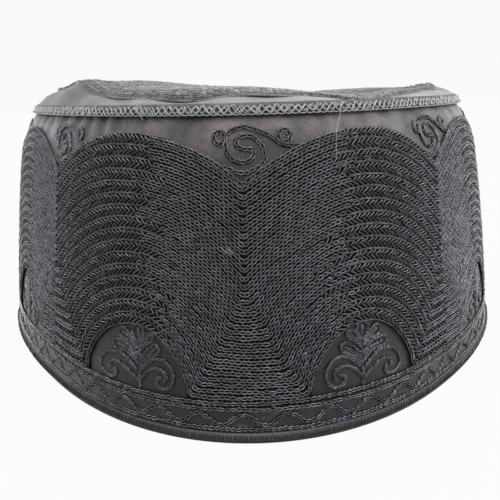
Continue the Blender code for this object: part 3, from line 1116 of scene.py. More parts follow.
@dataclass
class BandCloth:
    """The wall's cotton sateen, puckered under the crown seam, with painted shade low down, in its creases
    and on two of its sides.
    """

    shape: CapShape
    columns: int = 540
    rows: int = 30
    foot: float = 2.9 * MM
    thickness: float = 1.6 * MM
    pucker_base: float = 0.0705      # the puckers fade out below this height
    roll_base: float = 0.0722        # the cloth starts to turn in to the seam here
    roll: float = 1.0 * MM
    stand_out: float = 0.12 * MM     # how far the puckered cloth may come outwards
    crease_width: float = 1.25       # of a drawn crease, in its own half widths
    crease_depth: float = 1.2        # and its depth
    ridge: tuple = (0.45, 1.9)       # height and place of the ridges beside a crease
    slack: float = 0.4 * MM          # low waves between the creases
    slack_waves: tuple = (47, 13)    # round the cap, multiplied with each other
    slack_shift: float = 40.0
    deepest: float = 1.2 * MM        # a crease this deep gets the whole of its painted shade
    painted_shade_heights: tuple = (0.0655, 0.0760)  # the painted shade low on the band fades out from one height to the other
    painted_shade_low: float = 0.80          # how much painted shade the cloth gets low down
    # angle of a side with painted shade, as the one across from it has; power and amount
    painted_shade_sides: tuple = ((-44.0, 4, 0.72), (46.0, 2, 0.30))
    # how much painted shade a whole crease gets
    painted_shade_creases: float = 0.05
    sewing_cut: float = 0.030        # the foot's girth is so much longer than the flat cloth
    # angle at the seam, lean in degrees over the strip, half width in degrees, depth
    creases: tuple = ((-44.0, 1.5, 1.3, 0.50 * MM), (-37.8, 2.2, 1.4, 0.75 * MM),
                      (-33.3, 2.0, 1.0, 0.60 * MM), (-28.4, 1.2, 1.1, 0.70 * MM),
                      (-24.2, 1.0, 0.9, 0.55 * MM),
                      (-18.2, 0.9, 0.7, 0.80 * MM), (-8.0, 0.5, 1.8, 0.25 * MM),
                      (8.0, 2.2, 0.7, 0.40 * MM), (13.0, 1.9, 0.7, 0.35 * MM),
                      (16.8, 1.8, 0.6, 0.30 * MM), (28.0, 2.6, 1.1, 0.55 * MM),
                      (36.0, 4.0, 1.2, 0.55 * MM), (47.0, 3.4, 1.3, 0.50 * MM))

    unseen: tuple = (54.0, 318.0)    # from one angle to the other no crease is in the photo

    def all_creases(self) -> Iterator[tuple[float, float, float, float]]:
        """List the creases seen at the front, and others like them round the rest of the cap.

        Yields:
            Angle, lean, half width and depth of each.
        """
        yield from self.creases
        chance = np.random.default_rng(Seed.CREASES.value)
        angle, last = self.unseen
        while angle < last:
            yield (angle, chance.uniform(-2.0, 3.0), chance.uniform(0.7, 1.6),
                   chance.uniform(0.25, 0.6) * MM)
            angle += chance.uniform(4.0, 11.0)

    def pucker(self, angle: np.ndarray, height: np.ndarray) -> np.ndarray:
        """Measure how far the cloth is drawn in by its creases, and by its roll towards the seam.

        Args:
            angle: angles in degrees.
            height: heights above the floor.

        Returns:
            Depths inwards.
        """
        top = self.shape.wall_height
        up = np.clip((height - self.pucker_base) / (top - self.pucker_base), 0.0, 1.0)
        depth = np.zeros_like(angle)
        for at, lean, width, deep in self.all_creases():
            off = degrees_off(angle, at + lean * (1 - up)) / (self.crease_width * width)
            ridges = self.ridge[0] * np.exp(-(np.abs(off) - self.ridge[1])**2)
            depth += deep * (np.exp(-off**2) - ridges)
        short, long = (np.radians(angle * waves) for waves in self.slack_waves)
        slack = self.slack * np.sin(short) * np.sin(long + math.radians(self.slack_shift))
        roll = self.roll * np.clip((height - self.roll_base) / (top - self.roll_base), 0, 1)**2
        drawn = self.crease_depth * depth * up**1.1 + slack * np.sin(math.pi * up)
        return np.maximum(drawn, -self.stand_out) + roll

    def build(self) -> bpy.types.Object:
        """Cut, wrap and thicken the cloth.

        Returns:
            The cloth.
        """
        shape = self.shape
        girth, width = shape.foot_girth, shape.wall_height - self.foot

        def place(along: np.ndarray, across: np.ndarray) -> np.ndarray:
            """Wrap the flat cloth round the wall."""
            angle, height = along * 360, self.foot + width * across
            return shape.wall(angle, height, shape.cloth_depth + self.pucker(angle, height))

        piece = wrapped_cloth("side_band_cloth", self.columns, self.rows, (girth, width), place,
                              SATEEN.make(), self.thickness)
        # painted shade low down, in the creases and on two sides
        self.paint_shade(piece.data)
        return place_piece(piece, Slot.BAND, "side_band")

    def paint_shade(self, mesh: bpy.types.Mesh) -> None:
        """Paint shade on the cloth: low down, in the creases and on two of its sides.

        Args:
            mesh: the cloth.
        """
        points = mesh_points(mesh)
        angle, height = cap_angle(points), points[:, 2]
        low = 1 - np.clip((height - self.painted_shade_heights[0]) / np.ptp(self.painted_shade_heights), 0, 1)
        painted_shade = self.painted_shade_low * low**1.6
        for side, power, amount in self.painted_shade_sides:
            painted_shade += amount * np.maximum(np.cos(np.radians(2 * (angle - side))), 0)**power
        drawn = np.clip(self.pucker(angle, height) / self.deepest, 0, 1)
        painted_shade += self.painted_shade_creases * drawn * (height < self.shape.wall_height - self.roll)
        set_shares(mesh, "painted_shade", np.clip(painted_shade, 0, 1))


@dataclass
class CrownCloth:
    """The crown's sateen, slack and rolled at the left, with a crease beside the roll, painted shade on the
    roll and painted light along its front edge.
    """

    shape: CapShape
    fold_angle: float = -52.0        # the middle of the roll, which gets painted shade
    fold_spread: tuple = (22.0, 0.09)    # in degrees, and as a share of the way out
    edge: float = 0.97               # the roll's painted shade and the front edge's painted light lie this far out
    # spread and amount of the painted light along the front edge
    painted_light_spread: tuple = (75.0, 0.035)
    painted_light_amount: float = 0.55
    wrinkle: float = 0.35 * MM       # fine wrinkles beside the seam
    wrinkles: int = 23
    wrinkle_ring: tuple = (0.965, 0.02)  # where they lie, and how wide, as shares
    columns: int = 216
    rows: int = 44
    thickness: float = 1.5 * MM
    map_size: tuple = (0.53, 0.085)  # the cloth's own map: the seam's length, the way out
    area_share: float = 0.79         # of the seam's box, near an ellipse's

    def build(self) -> bpy.types.Object:
        """Cut, lay and thicken the cloth.

        Returns:
            The cloth.
        """
        shape = self.shape

        def place(along: np.ndarray, across: np.ndarray) -> np.ndarray:
            """Lay the flat cloth on the crown, its far side gathered to the middle.

            Args:
                along: shares along the cloth.
                across: shares across it.

            Returns:
                Points on the cap.
            """
            angle, out = along * 360, 1.0 - across
            middle, width = self.wrinkle_ring
            ring = np.exp(-((out - middle) / width)**2)
            return shape.crown(angle, out, self.wrinkle * np.sin(np.radians(angle * self.wrinkles)) * ring)

        piece = wrapped_cloth("crown_cloth", self.columns, self.rows, self.map_size, place,
                              CROWN_SATEEN.make(), self.thickness)
        # painted shade on the roll and painted light along the front edge
        self.paint_shade(piece.data)
        edge = shape.crown_edge(np.arange(0, 360, 2.0))
        width, depth = np.ptp(edge[:, 0]), np.ptp(edge[:, 1])
        return place_piece(piece, Slot.CROWN, "crown_panel")

    def paint_shade(self, mesh: bpy.types.Mesh) -> None:
        """Paint shade on the cloth's roll, and paint light along its front edge.

        Args:
            mesh: the cloth.
        """
        points = mesh_points(mesh)
        angle = cap_angle(points)
        reach = np.linalg.norm(self.shape.crown_edge(angle)[..., :2], axis=-1)
        off = np.hypot(points[:, 0], points[:, 1]) / reach - self.edge
        turn, width = self.fold_spread
        painted_shade = np.exp(-((angle - self.fold_angle) / turn)**2 - (off / width)**2)
        turn, width = self.painted_light_spread
        painted_light = np.exp(-(off / width)**2) * np.exp(-(angle / turn)**4)
        set_shares(mesh, "painted_shade", painted_shade - self.painted_light_amount * painted_light * (1 - painted_shade))


# Lines of a palmette: its left, its right and its middle, in millimetres from its stem and above
# the floor.
PALMETTE_LEFT = {
    "outer volute": [(-0.7, 15.2), (-3.0, 17.3), (-4.9, 18.6), (-6.6, 18.9), (-8.3, 18.5), (-9.8, 17.4),
                     (-10.7, 15.9), (-10.9, 14.1), (-10.4, 12.5), (-9.2, 11.5), (-7.4, 11.2),
                     (-5.8, 11.7), (-5.2, 12.9), (-6.0, 13.9), (-7.2, 14.2)],
    "inner volute": [(-0.4, 12.6), (-1.9, 14.4), (-3.6, 15.6), (-5.4, 16.3), (-7.1, 16.2),
                     (-8.4, 15.2), (-8.6, 13.8), (-7.8, 12.9)],
    "low leaf": [(-0.4, 16.1), (-2.4, 17.9), (-4.4, 19.1), (-6.0, 20.0), (-6.5, 21.3), (-5.6, 22.2),
                 (-4.0, 21.7), (-2.3, 20.2), (-0.4, 18.4)],
    "low leaf vein": [(-0.5, 17.3), (-2.8, 19.3), (-5.2, 21.0)],
    "high leaf": [(-0.4, 20.2), (-1.9, 21.6), (-3.6, 22.8), (-4.6, 23.9), (-4.2, 25.0), (-3.0, 24.9),
                  (-1.6, 23.6), (-0.5, 22.2)],
    "high leaf vein": [(-0.5, 21.2), (-2.2, 22.9), (-3.6, 24.1)],
}
PALMETTE_RIGHT = {
    "outer volute": [(0.7, 14.9), (2.4, 16.4), (4.0, 17.7), (5.7, 18.2), (7.5, 17.9), (9.1, 17.2),
                     (10.5, 16.1), (11.4, 14.5), (11.5, 12.9), (10.6, 11.5), (9.0, 10.8),
                     (7.4, 11.0), (6.4, 12.2), (6.9, 13.4)],
    "inner volute": [(0.5, 12.0), (2.2, 13.5), (4.0, 14.6), (5.8, 15.4), (7.5, 15.2), (8.6, 14.1),
                     (8.6, 12.9)],
    "low leaf": [(0.4, 16.4), (1.8, 18.0), (3.3, 18.9), (5.0, 18.9), (6.7, 19.1), (7.6, 20.1),
                 (6.9, 21.2), (5.2, 21.6), (3.4, 21.1), (1.9, 20.2), (0.4, 18.8)],
    "low leaf vein": [(0.5, 17.6), (2.4, 19.5), (5.8, 20.3)],
    "high leaf": [(0.4, 20.4), (1.8, 21.3), (2.9, 22.0), (4.4, 22.1), (5.6, 22.9), (5.7, 24.1),
                  (4.6, 25.0), (3.3, 24.6), (2.4, 23.5), (0.5, 22.0)],
    "high leaf vein": [(0.5, 21.3), (2.6, 22.9), (4.4, 23.7)],
}
PALMETTE_MIDDLE = {
    "stem": [(0.1, 10.2), (0.2, 13.0), (-0.1, 16.5), (0.0, 20.0), (0.0, 22.6)],
    "bud": [(-0.3, 21.9), (-1.2, 23.6), (-1.3, 25.3), (-0.6, 26.5), (0.6, 26.6), (1.6, 25.7),
            (2.0, 24.2), (1.3, 22.8), (0.3, 21.9)],
    "bud vein": [(0.1, 22.6), (0.0, 24.2), (0.3, 25.6)],
}

# Lines of a scroll, in millimetres from its valley and above the floor.
SCROLL_LINES = {
    "tail": [(-3.7, 72.4), (-2.6, 73.3), (-1.0, 73.9), (0.9, 74.2), (2.8, 73.9), (4.8, 73.1),
             (6.8, 72.3), (8.4, 71.4), (9.6, 70.5), (10.9, 69.9), (12.8, 69.7), (14.8, 69.6)],
    "left curl": [(-3.7, 72.2), (-4.0, 70.9), (-3.9, 69.5), (-3.4, 68.2), (-2.4, 67.1), (-0.9, 66.4),
                  (0.8, 66.3), (2.2, 66.8), (3.1, 67.8), (3.2, 68.9), (2.3, 69.3), (0.9, 69.2),
                  (-0.6, 69.5), (-1.4, 70.4), (-1.1, 71.4), (-0.3, 71.9)],
    "right curl": [(-0.3, 71.9), (1.0, 72.2), (2.5, 72.1), (3.9, 71.3), (5.1, 70.1), (5.8, 68.7),
                   (5.9, 67.3), (5.3, 66.0), (4.1, 65.1), (2.4, 64.4), (0.8, 63.9), (-1.0, 64.1),
                   (-2.9, 64.8), (-4.8, 65.6)],
}
# Rings of a scroll: across and height of the middle, radius, all in millimetres.
SCROLL_RINGS = ((-5.6, 71.8, 1.45), (11.1, 71.9, 1.6))


@dataclass
class WallEmbroidery:
    """The wall's chain stitch: arches of rows, palmettes, scrolls and the border."""

    plan: ArchPlan
    rows: int = 31
    flat_rows: int = 17
    flat_base: float = 11.2 * MM
    flat_pitch: float = 1.45 * MM
    ground_depth: float = 0.58 * MM      # the backing's face under the embroidery's face
    ground_thickness: float = 0.42 * MM
    backing_grid: tuple = (24, 1, 18)    # columns of an arch, rows under and over its window
    backing_map: tuple = (0.590, 0.070)
    arch_turn: float = 2.3               # how far an arch's rows go round its hub, in radians
    way_height: float = 0.04             # at this height an arch's middle is left or right
    line_steps: tuple = (400, 120, 40, 1441)     # of a row, the top row, a ring and the border
    line_gap: float = 0.35 * MM          # between the points of an evened row
    edge_lift: float = 0.55 * MM         # of the top row over the scallop
    backing_lift: float = 0.9 * MM       # and of the backing's edge
    plain_from: float = 0.06             # rows go over to plain chain stitch, in half arches
    plain_ramp: float = 0.22
    plain_spread: float = 0.07
    # a row's wander across and up: its size, and its waves' lengths over tau both ways
    wanders: tuple = ((0.45 * MM, 9 * MM, 11 * MM), (0.40 * MM, 7 * MM, 8 * MM))
    wander_heights: tuple = (10 * MM, 8 * MM)    # where it starts, and over which rise
    border_rows: tuple = (9.80 * MM, 8.25 * MM, 3.35 * MM)
    border_ways: tuple = (Way.ONWARD, Way.BACKWARD, Way.ONWARD)
    wave_shift: float = 0.6              # in degrees
    wave_middle: float = 5.75 * MM
    wave_height: float = 1.45 * MM
    waves: int = 54
    turned_palmettes: tuple = (1, 3, 6, 8)
    front_arches: tuple = (0, 8)         # their stitches are bent more finely
    figure_depth: float = 1.10 * MM      # the figures' rows under the embroidery's face
    palmette_tone: float = 0.35          # how light the threads are
    scroll_tone: float = 0.4
    border_tone: float = 0.34
    wave_tone: float = 0.1
    palmette_shade_padding: float = 0.85 * MM  # widths of the flat black thread under the figures, painted shade in their holes and along their edges
    scroll_shade_padding: float = 1.05 * MM
    border_shade_padding: float = 1.15 * MM
    shade_padding_flatness: float = 0.22
    shade_padding_tone: float = 0.3
    shade_padding_step: int = 3                # it follows every third point of the stitches' line
    border_lift: float = 0.06 * MM       # of the border's rows over the arches' rows
    border_sway: float = 0.12 * MM       # how uneven its straight rows are
    border_grid: tuple = (480, 6)
    border_foot: float = 2.9 * MM
    border_top: float = 8.9 * MM         # the border's cloth meets the black backing here
    border_painted_shade: float = 0.55           # how much painted shade that cloth gets, low on the wall

    def on_wall(self, angle: np.ndarray, height: np.ndarray,
                depth: float) -> tuple[np.ndarray, np.ndarray]:
        """Points and outward vectors of a line on the wall.

        Args:
            angle: angles in degrees.
            height: heights above the floor.
            depth: how far under the embroidery's face.

        Returns:
            The points and the vectors.
        """
        shape = self.plan.shape
        return shape.wall(angle, height, depth), shape.outward(angle, height)

    def arch_rows(self) -> Iterator[np.ndarray]:
        """Lay out each row over one arch.

        Yields:
            A row's points, as lengths across and heights.
        """
        plan = self.plan
        turn = np.linspace(-self.arch_turn, self.arch_turn, self.line_steps[0])
        inner, outer = plan.inner_reach(turn), plan.outer_reach(turn)
        for row in range(self.rows):
            reach = inner + (outer - inner) * (row + 0.5) / self.rows
            across, height = reach * np.sin(turn), plan.hub + reach * np.cos(turn)
            floor = self.flat_base + row * self.flat_pitch
            kept = (height >= floor) & (np.abs(across) <= plan.half)
            line = np.stack([across[kept], height[kept]], axis=-1)
            if row < self.flat_rows:
                line = np.concatenate([[(-plan.half, floor)], line, [(plan.half, floor)]])
            else:
                line[0, 0], line[-1, 0] = -plan.half, plan.half
            yield rounded(spaced(line, self.line_gap), 2)
        edge = np.linspace(-plan.half, plan.half, self.line_steps[1])
        yield np.stack([edge, plan.scallop(edge) + self.edge_lift], axis=-1)

    def wander(self, arch: int, line: np.ndarray) -> np.ndarray:
        """Shift a line as a hand-guided machine does, fading out at the valleys and the sill.

        Args:
            arch: number of the arch, from 0.
            line: lengths across and heights.

        Returns:
            The shifted line.
        """
        phase = np.random.default_rng(Seed.WANDER.value + arch).uniform(0, math.tau, (2, 2))
        across, height = line.T
        start, rise = self.wander_heights
        fade = (1 - (across / self.plan.half)**8) * np.clip((height - start) / rise, 0, 1)
        shifts = [size * np.sin(across / wide + first) * np.sin(height / high + second)
                  for (size, wide, high), (first, second) in zip(self.wanders, phase)]
        return line + np.stack(shifts, axis=-1) * fade[:, None]

    def arch(self, number: int, material: bpy.types.Material) -> bpy.types.Object:
        """Sew one arch's rows.

        Args:
            number: number of the arch, from 0.
            material: its thread.

        Returns:
            The rows.
        """
        bends = FINE_BENDS if number in self.front_arches else COARSE_BENDS
        work = Embroidery(SlantStitch(stations=bends), Seed.ARCHES.value + number,
                          Stitch(stations=bends))
        chance = np.random.default_rng(Seed.PLAIN.value + number)
        middle = self.plan.angle(number, np.zeros(1), np.full(1, self.way_height))[0] % 360
        way = Way.BACKWARD if middle < 180 else Way.ONWARD
        for row, line in enumerate(self.arch_rows()):
            across, height = self.wander(number, line).T
            angle = self.plan.angle(number, across, height)
            ahead = across / self.plan.half * way.value + chance.normal(0, self.plain_spread)
            work.sew(*self.on_wall(angle, height, self.ground_depth), way,
                     turned=bool(row % 2) == (way is Way.ONWARD),
                     others=np.clip((ahead - self.plain_from) / self.plain_ramp, 0, 1))
        piece = work.finish(f"arch_{number + 1}_chain_rows", material)
        return place_piece(piece, Slot.WALL_THREAD, "arch_embroidery")

    def palmette(self, number: int, material: bpy.types.Material) -> bpy.types.Object:
        """Sew the palmette of one window, some of them turned about.

        Args:
            number: number of the window, from 0.
            material: its thread.

        Returns:
            The palmette.
        """
        work, paths = Embroidery(PALMETTE_STITCH, Seed.PALMETTES.value + number), []
        turned = -1.0 if number in self.turned_palmettes else 1.0
        for lines in (PALMETTE_MIDDLE, PALMETTE_LEFT, PALMETTE_RIGHT):
            for points in lines.values():
                across, height = curved(points).T * MM
                angle = self.plan.angle(number, across * turned, height)
                paths.append(self.on_wall(angle, height, self.figure_depth))
                work.sew(*paths[-1], tone=self.palmette_tone)
        self.shade_padding(f"window_{number + 1}_padding", paths, self.palmette_shade_padding)
        piece = work.finish(f"window_{number + 1}_palmette", material)
        return place_piece(piece, Slot.WALL_THREAD)

    def shade_padding(self, name: str, paths: list, width: float) -> bpy.types.Object:
        """Lay flat black thread under chain stitch that is sewn on bare cloth: painted shade in the
        stitches' holes and along their edges.

        Args:
            name: the piece's name.
            paths: points and outward vectors of the stitches' lines.
            width: the thread's width.

        Returns:
            The threads.
        """
        kept = [np.unique(np.append(np.arange(0, len(points), self.shade_padding_step), len(points) - 1))
                for points, _ in paths]
        paths = [(points[rows], outs[rows]) for (points, outs), rows in zip(paths, kept)]
        piece = thread_tubes(name, paths, width, SHADE_PADDING.make(), False, tone=self.shade_padding_tone,
                             flatness=self.shade_padding_flatness)
        return place_piece(piece, Slot.WALL_THREAD)

    def scroll(self, number: int, material: bpy.types.Material) -> bpy.types.Object:
        """Sew the scroll over one valley.

        Args:
            number: number of the valley, from 0.
            material: its thread.

        Returns:
            The scroll.
        """
        work = Embroidery(SCROLL_STITCH, Seed.SCROLLS.value + number)
        lines, paths = [curved(points) for points in SCROLL_LINES.values()], []
        turn = np.linspace(0, math.tau, self.line_steps[2])
        circle = np.stack([np.cos(turn), np.sin(turn)], axis=-1)
        for across, height, radius in SCROLL_RINGS:
            lines.append(circle * radius + (across, height))
        for line in lines:
            across, height = line.T * MM
            angle = self.plan.valley(number) + across / self.plan.degree
            paths.append(self.on_wall(angle, height, self.figure_depth))
            work.sew(*paths[-1], tone=self.scroll_tone)
        self.shade_padding(f"valley_{number + 1}_padding", paths, self.scroll_shade_padding)
        piece = work.finish(f"valley_{number + 1}_scroll", material)
        return place_piece(piece, Slot.WALL_THREAD)

    def border(self) -> bpy.types.Object:
        """Sew the border's straight rows and its wave.

        Returns:
            The rows.
        """
        work = Embroidery(BORDER_STITCH, Seed.BORDER.value)
        angle, depth = np.linspace(0, 360, self.line_steps[3]), self.ground_depth - self.border_lift
        rows = []
        for place, (height, way) in enumerate(zip(self.border_rows, self.border_ways)):
            sway = self.border_sway * np.sin(np.radians(angle * 7 + place * 90))
            rows.append((height + sway, way, self.border_tone))
        crest = np.cos(np.radians((angle + self.wave_shift) * self.waves))
        rows.append((self.wave_middle + self.wave_height * crest, Way.ONWARD, self.wave_tone))
        paths = [self.on_wall(angle, heights, depth) for heights, _, _ in rows]
        for path, (_, way, tone) in zip(paths, rows):
            work.sew(*path, way, tone)
        self.shade_padding("border_shade_padding", paths, self.border_shade_padding)
        piece = work.finish("border_chain_rows", FIGURE_THREAD.make())
        return place_piece(piece, Slot.WALL_THREAD)

    def backing(self) -> bpy.types.Object:
        """Cut the cloth that the rows are sewn on, scalloped above and pierced by the windows.

        Returns:
            The cloth.
        """
        plan, half_window = self.plan, self.plan.window_width / 2
        columns, low_rows, high_rows = self.backing_grid
        rows = low_rows + 1 + high_rows

        def local(along: np.ndarray) -> tuple[np.ndarray, np.ndarray]:
            """Find the arch and the length across it, with a column on each window's side.

            Args:
                along: shares along the cloth.

            Returns:
                Numbers of the arches and lengths from their middles.
            """
            turns = np.clip(along, 0, 1) * plan.count
            arch = np.minimum(turns.astype(int), plan.count - 1)
            across = np.interp((turns - arch) * 2 - 1, [-1, -0.5, 0.5, 1],
                               [-plan.half, -half_window, half_window, plan.half])
            return arch, across

        def place(along: np.ndarray, up: np.ndarray) -> np.ndarray:
            """Wrap the backing round the wall.

            Args:
                along: shares along the cloth.
                up: shares across it.

            Returns:
                Points on the cap.
            """
            arch, across = local(along)
            row = up * rows
            low = self.border_top + (plan.window_base - self.border_top) * np.minimum(row / low_rows, 1.0)
            head, edge = plan.head(across), plan.scallop(across) + self.backing_lift
            high = head + (edge - head) * np.clip((row - low_rows - 1) / high_rows, 0.0, 1.0)
            height = np.where(row <= low_rows + 1e-6, low, high)
            angle = np.zeros_like(height)
            for number in range(plan.count):
                here = arch == number
                angle[here] = plan.angle(number, across[here], height[here])
            return plan.shape.wall(angle, height, self.ground_depth)

        def window(along: np.ndarray, up: np.ndarray) -> np.ndarray:
            """Say which faces lie in a window."""
            row = up * rows
            return (np.abs(local(along)[1]) < half_window) & (row > low_rows) & (row < low_rows + 1)

        # the backing is black as painted shade in the gaps and holes between the rows
        piece = wrapped_cloth("wall_backing", columns * plan.count, rows, self.backing_map, place,
                              SHADE_BACKING.make(), self.ground_thickness, window)
        return place_piece(piece, Slot.WALL_THREAD, "arch_embroidery")

    def border_cloth(self) -> bpy.types.Object:
        """Cut the border's bare cloth, under its wave and its straight rows.

        Returns:
            The cloth.
        """
        foot, shape = self.border_foot, self.plan.shape
        width = self.border_top - foot

        def place(along: np.ndarray, across: np.ndarray) -> np.ndarray:
            """Wrap the strip round the wall."""
            return shape.wall(along * 360, foot + width * across, self.ground_depth)

        piece = wrapped_cloth("border_cloth", *self.border_grid, (shape.foot_girth, width), place,
                              SATEEN.make(), self.ground_thickness)
        # the border's cloth is darkened evenly: painted shade low on the wall
        set_shares(piece.data, "painted_shade", self.border_painted_shade)
        return place_piece(piece, Slot.WALL_THREAD, "arch_embroidery")

    def build(self) -> None:
        """Sew everything on the wall."""
        self.backing()
        self.border_cloth()
        thread, figure = WALL_THREAD.make(), FIGURE_THREAD.make()
        for number in range(self.plan.count):
            self.arch(number, thread)
            self.palmette(number, figure)
            self.scroll(number, figure)
        self.border()


@dataclass
class CrownEmbroidery:
    """The crown's rings of chain stitch inside a waved outline."""

    shape: CapShape
    margin: float = 7.5 * MM
    wave: float = 1.1 * MM
    waves: int = 18
    front_reach: float = 5.2 * MM        # how much nearer to the seam the field comes in front
    front_angle: float = -9.0
    front_spreads: tuple = (31.0, 22.0)  # degrees to the left and the right
    plain_angle: float = -44.0           # beside the roll the outline has no waves
    plain_spread: float = 30.0
    rings: int = 38
    ring_lifts: tuple = (0.18 * MM, -0.05 * MM)  # of the outermost ring and of the others
    # the outermost ring's thread is darker: an outline, and painted shadow under the field's edge
    ring_tones: tuple = (-0.3, 0.45)
    ring_steps: int = 721
    ground_lift: float = 0.28 * MM       # the backing's face over the crown's cloth
    ground_thickness: float = 0.16 * MM
    ground_map: tuple = (0.5, 0.08)
    ground_grid: tuple = (180, 26)

    def field_edge(self, angle: np.ndarray) -> np.ndarray:
        """Find where the field ends: as on the solid, but straight beside the crown's roll.

        Args:
            angle: angles in degrees.

        Returns:
            Shares of the way out.
        """
        plain = degrees_off(angle, self.plain_angle)
        wave = self.wave * np.cos(np.radians(self.waves * angle))
        wave = wave * (1 - np.exp(-(plain / self.plain_spread)**4))
        across = degrees_off(angle, self.front_angle)
        spread = np.where(across > 0, self.front_spreads[1], self.front_spreads[0])
        margin = self.margin + wave - self.front_reach * np.exp(-np.abs(across / spread)**3)
        return 1.0 - margin / np.linalg.norm(self.shape.crown_edge(angle)[..., :2], axis=-1)

    def backing(self) -> bpy.types.Object:
        """Cut the layer under the rings.

        Returns:
            The layer.
        """
        def place(along: np.ndarray, across: np.ndarray) -> np.ndarray:
            """Lay the backing on the crown."""
            angle = along * 360
            return self.shape.crown(angle, self.field_edge(angle) * (1 - across), -self.ground_lift)

        piece = wrapped_cloth("crown_backing", *self.ground_grid, self.ground_map, place,
                              CROWN_SATEEN.make(), self.ground_thickness)
        return place_piece(piece, Slot.CROWN_THREAD, "crown_embroidery")

    def build(self) -> None:
        """Sew the crown's rings and their outline."""
        self.backing()
        work = Embroidery(RING_STITCH, Seed.RINGS.value)
        angle = np.linspace(0, 360, self.ring_steps)
        for ring in range(self.rings):
            share = 1 - (ring + 0.35 + 0.12 * (ring % 2)) / self.rings
            out = self.field_edge(angle) * share
            lift = self.ground_lift + self.ring_lifts[ring > 0]
            work.sew(self.shape.crown(angle, out, -lift), self.shape.crown_up(angle, out),
                     Way.ONWARD if ring % 2 else Way.BACKWARD, self.ring_tones[ring > 0])
        piece = work.finish("crown_chain_rings", CROWN_THREAD.make())
        place_piece(piece, Slot.CROWN_THREAD, "crown_embroidery")


@dataclass
class SeamBraid:
    """The open braid over the crown seam: double zigzag threads over a looped lower edge."""

    shape: CapShape
    width: float = 3.0 * MM
    diamonds: int = 146
    thread: float = 0.25 * MM
    tape_depth: float = 0.95 * MM    # the tape's face under the wall's face
    tape_shade_top: float = 0.42          # below this the tape gets painted shade, for the dark between the braid's threads; above it the tape is pale, as the crown's cloth is
    low_reach: float = -0.72         # where the zigzags turn, below
    limit: float = 0.92              # no thread turns further out, above or below
    curl: float = 0.55 * MM          # how far the upper part bends inwards
    curl_from: float = 0.1
    loops: tuple = (-0.74, 0.16)     # where the lower edge's loops lie, and how deep they are
    loop_lift: float = 0.24 * MM
    weave: float = 0.10 * MM         # how far threads rise and dip where they cross
    uneven: tuple = (0.055, 0.09)    # spread of the turns' places and of their reach
    # the tape's section: across, and depth in millimetres
    section: tuple = ((-0.92, 0.30), (-0.92, -0.05), (-0.5, 0.0), (0.0, 0.0), (0.35, 0.0),
                      (0.50, 0.0), (0.92, -0.05), (0.92, 0.30), (-0.92, 0.30))
    tape_map: tuple = (0.54, 0.007)
    tape_columns: int = 360
    thread_steps: int = 10           # points of a thread from diamond to diamond
    # phase, the place where it turns above, and lift in millimetres of each zigzag thread
    zigzags: tuple = ((0.0, 0.62, 0.32), (0.10, 0.56, 0.32), (0.5, 0.52, 0.16), (0.60, 0.46, 0.16))

    @property
    def middle(self) -> float:
        """Height of the braid's middle line."""
        return self.shape.wall_height + self.shape.seam_height / 2

    def on_braid(self, angle: np.ndarray, across: np.ndarray,
                 lift: np.ndarray) -> tuple[np.ndarray, np.ndarray]:
        """Points and outward vectors on the braid.

        Args:
            angle: angles in degrees.
            across: from -1 at its lower edge to 1 at its upper edge.
            lift: height over the tape's face.

        Returns:
            The points and the vectors.
        """
        height = self.middle + across * self.width / 2
        curl = self.curl * np.maximum(across - self.curl_from, 0.0)**2
        return (self.shape.wall(angle, height, self.tape_depth + curl - lift),
                self.shape.outward(angle, height))

    def tape(self) -> bpy.types.Object:
        """Make the dark tape under the threads, a closed ring, with painted shade on its lower part.

        Returns:
            The tape.
        """
        section = np.array(self.section).T
        steps = np.linspace(0, 1, section.shape[1])

        def place(along: np.ndarray, across: np.ndarray) -> np.ndarray:
            """Bend the strip round its section and round the cap."""
            wide, deep = (np.interp(across, steps, row) for row in section)
            return self.on_braid(along * 360, wide, -deep * MM)[0]

        piece = wrapped_cloth("crown_seam_tape", self.tape_columns, len(steps) - 1, self.tape_map,
                              place, BRAID_TAPE.make())
        across = (mesh_points(piece.data)[:, 2] - self.middle) / (self.width / 2)
        # painted shade on the tape's lower part, between the braid's threads
        set_shares(piece.data, "painted_shade", across < self.tape_shade_top)
        return place_piece(piece, Slot.BRAID, "crown_braid")

    def threads(self) -> bpy.types.Object:
        """Lay the zigzag threads and the loops along the lower edge.

        Returns:
            The threads.
        """
        turn = np.arange(self.diamonds * self.thread_steps) / self.thread_steps
        angle = turn * 360 / self.diamonds
        lines, chance = [], np.random.default_rng(Seed.BRAID.value)
        bends = np.arange(2 * self.diamonds + 1) / 2
        for phase, reach, lift in self.zigzags:
            place = bends + chance.normal(0, self.uneven[0], len(bends))
            tips = np.where(np.arange(len(bends)) % 2, reach, self.low_reach)
            tips = tips + chance.normal(0, self.uneven[1], len(bends))
            place[-1], tips[-1] = place[0] + self.diamonds, tips[0]
            across = np.interp((turn + phase) % self.diamonds, place, tips)
            weave = self.weave * np.cos(math.tau * (2 * turn + phase * 3))
            lines.append(self.on_braid(angle, np.clip(across, -self.limit, self.limit), lift * MM + weave))
        loop = self.loops[0] - self.loops[1] * np.abs(np.sin(math.tau * turn))
        weave = self.weave * np.cos(math.tau * 2 * turn)
        lines.append(self.on_braid(angle, loop, self.loop_lift + weave))
        piece = thread_tubes("crown_seam_threads", lines, self.thread, BRAID_THREAD.make(), True)
        return place_piece(piece, Slot.BRAID, "crown_braid")

    def build(self) -> None:
        """Make the braid."""
        self.tape()
        self.threads()


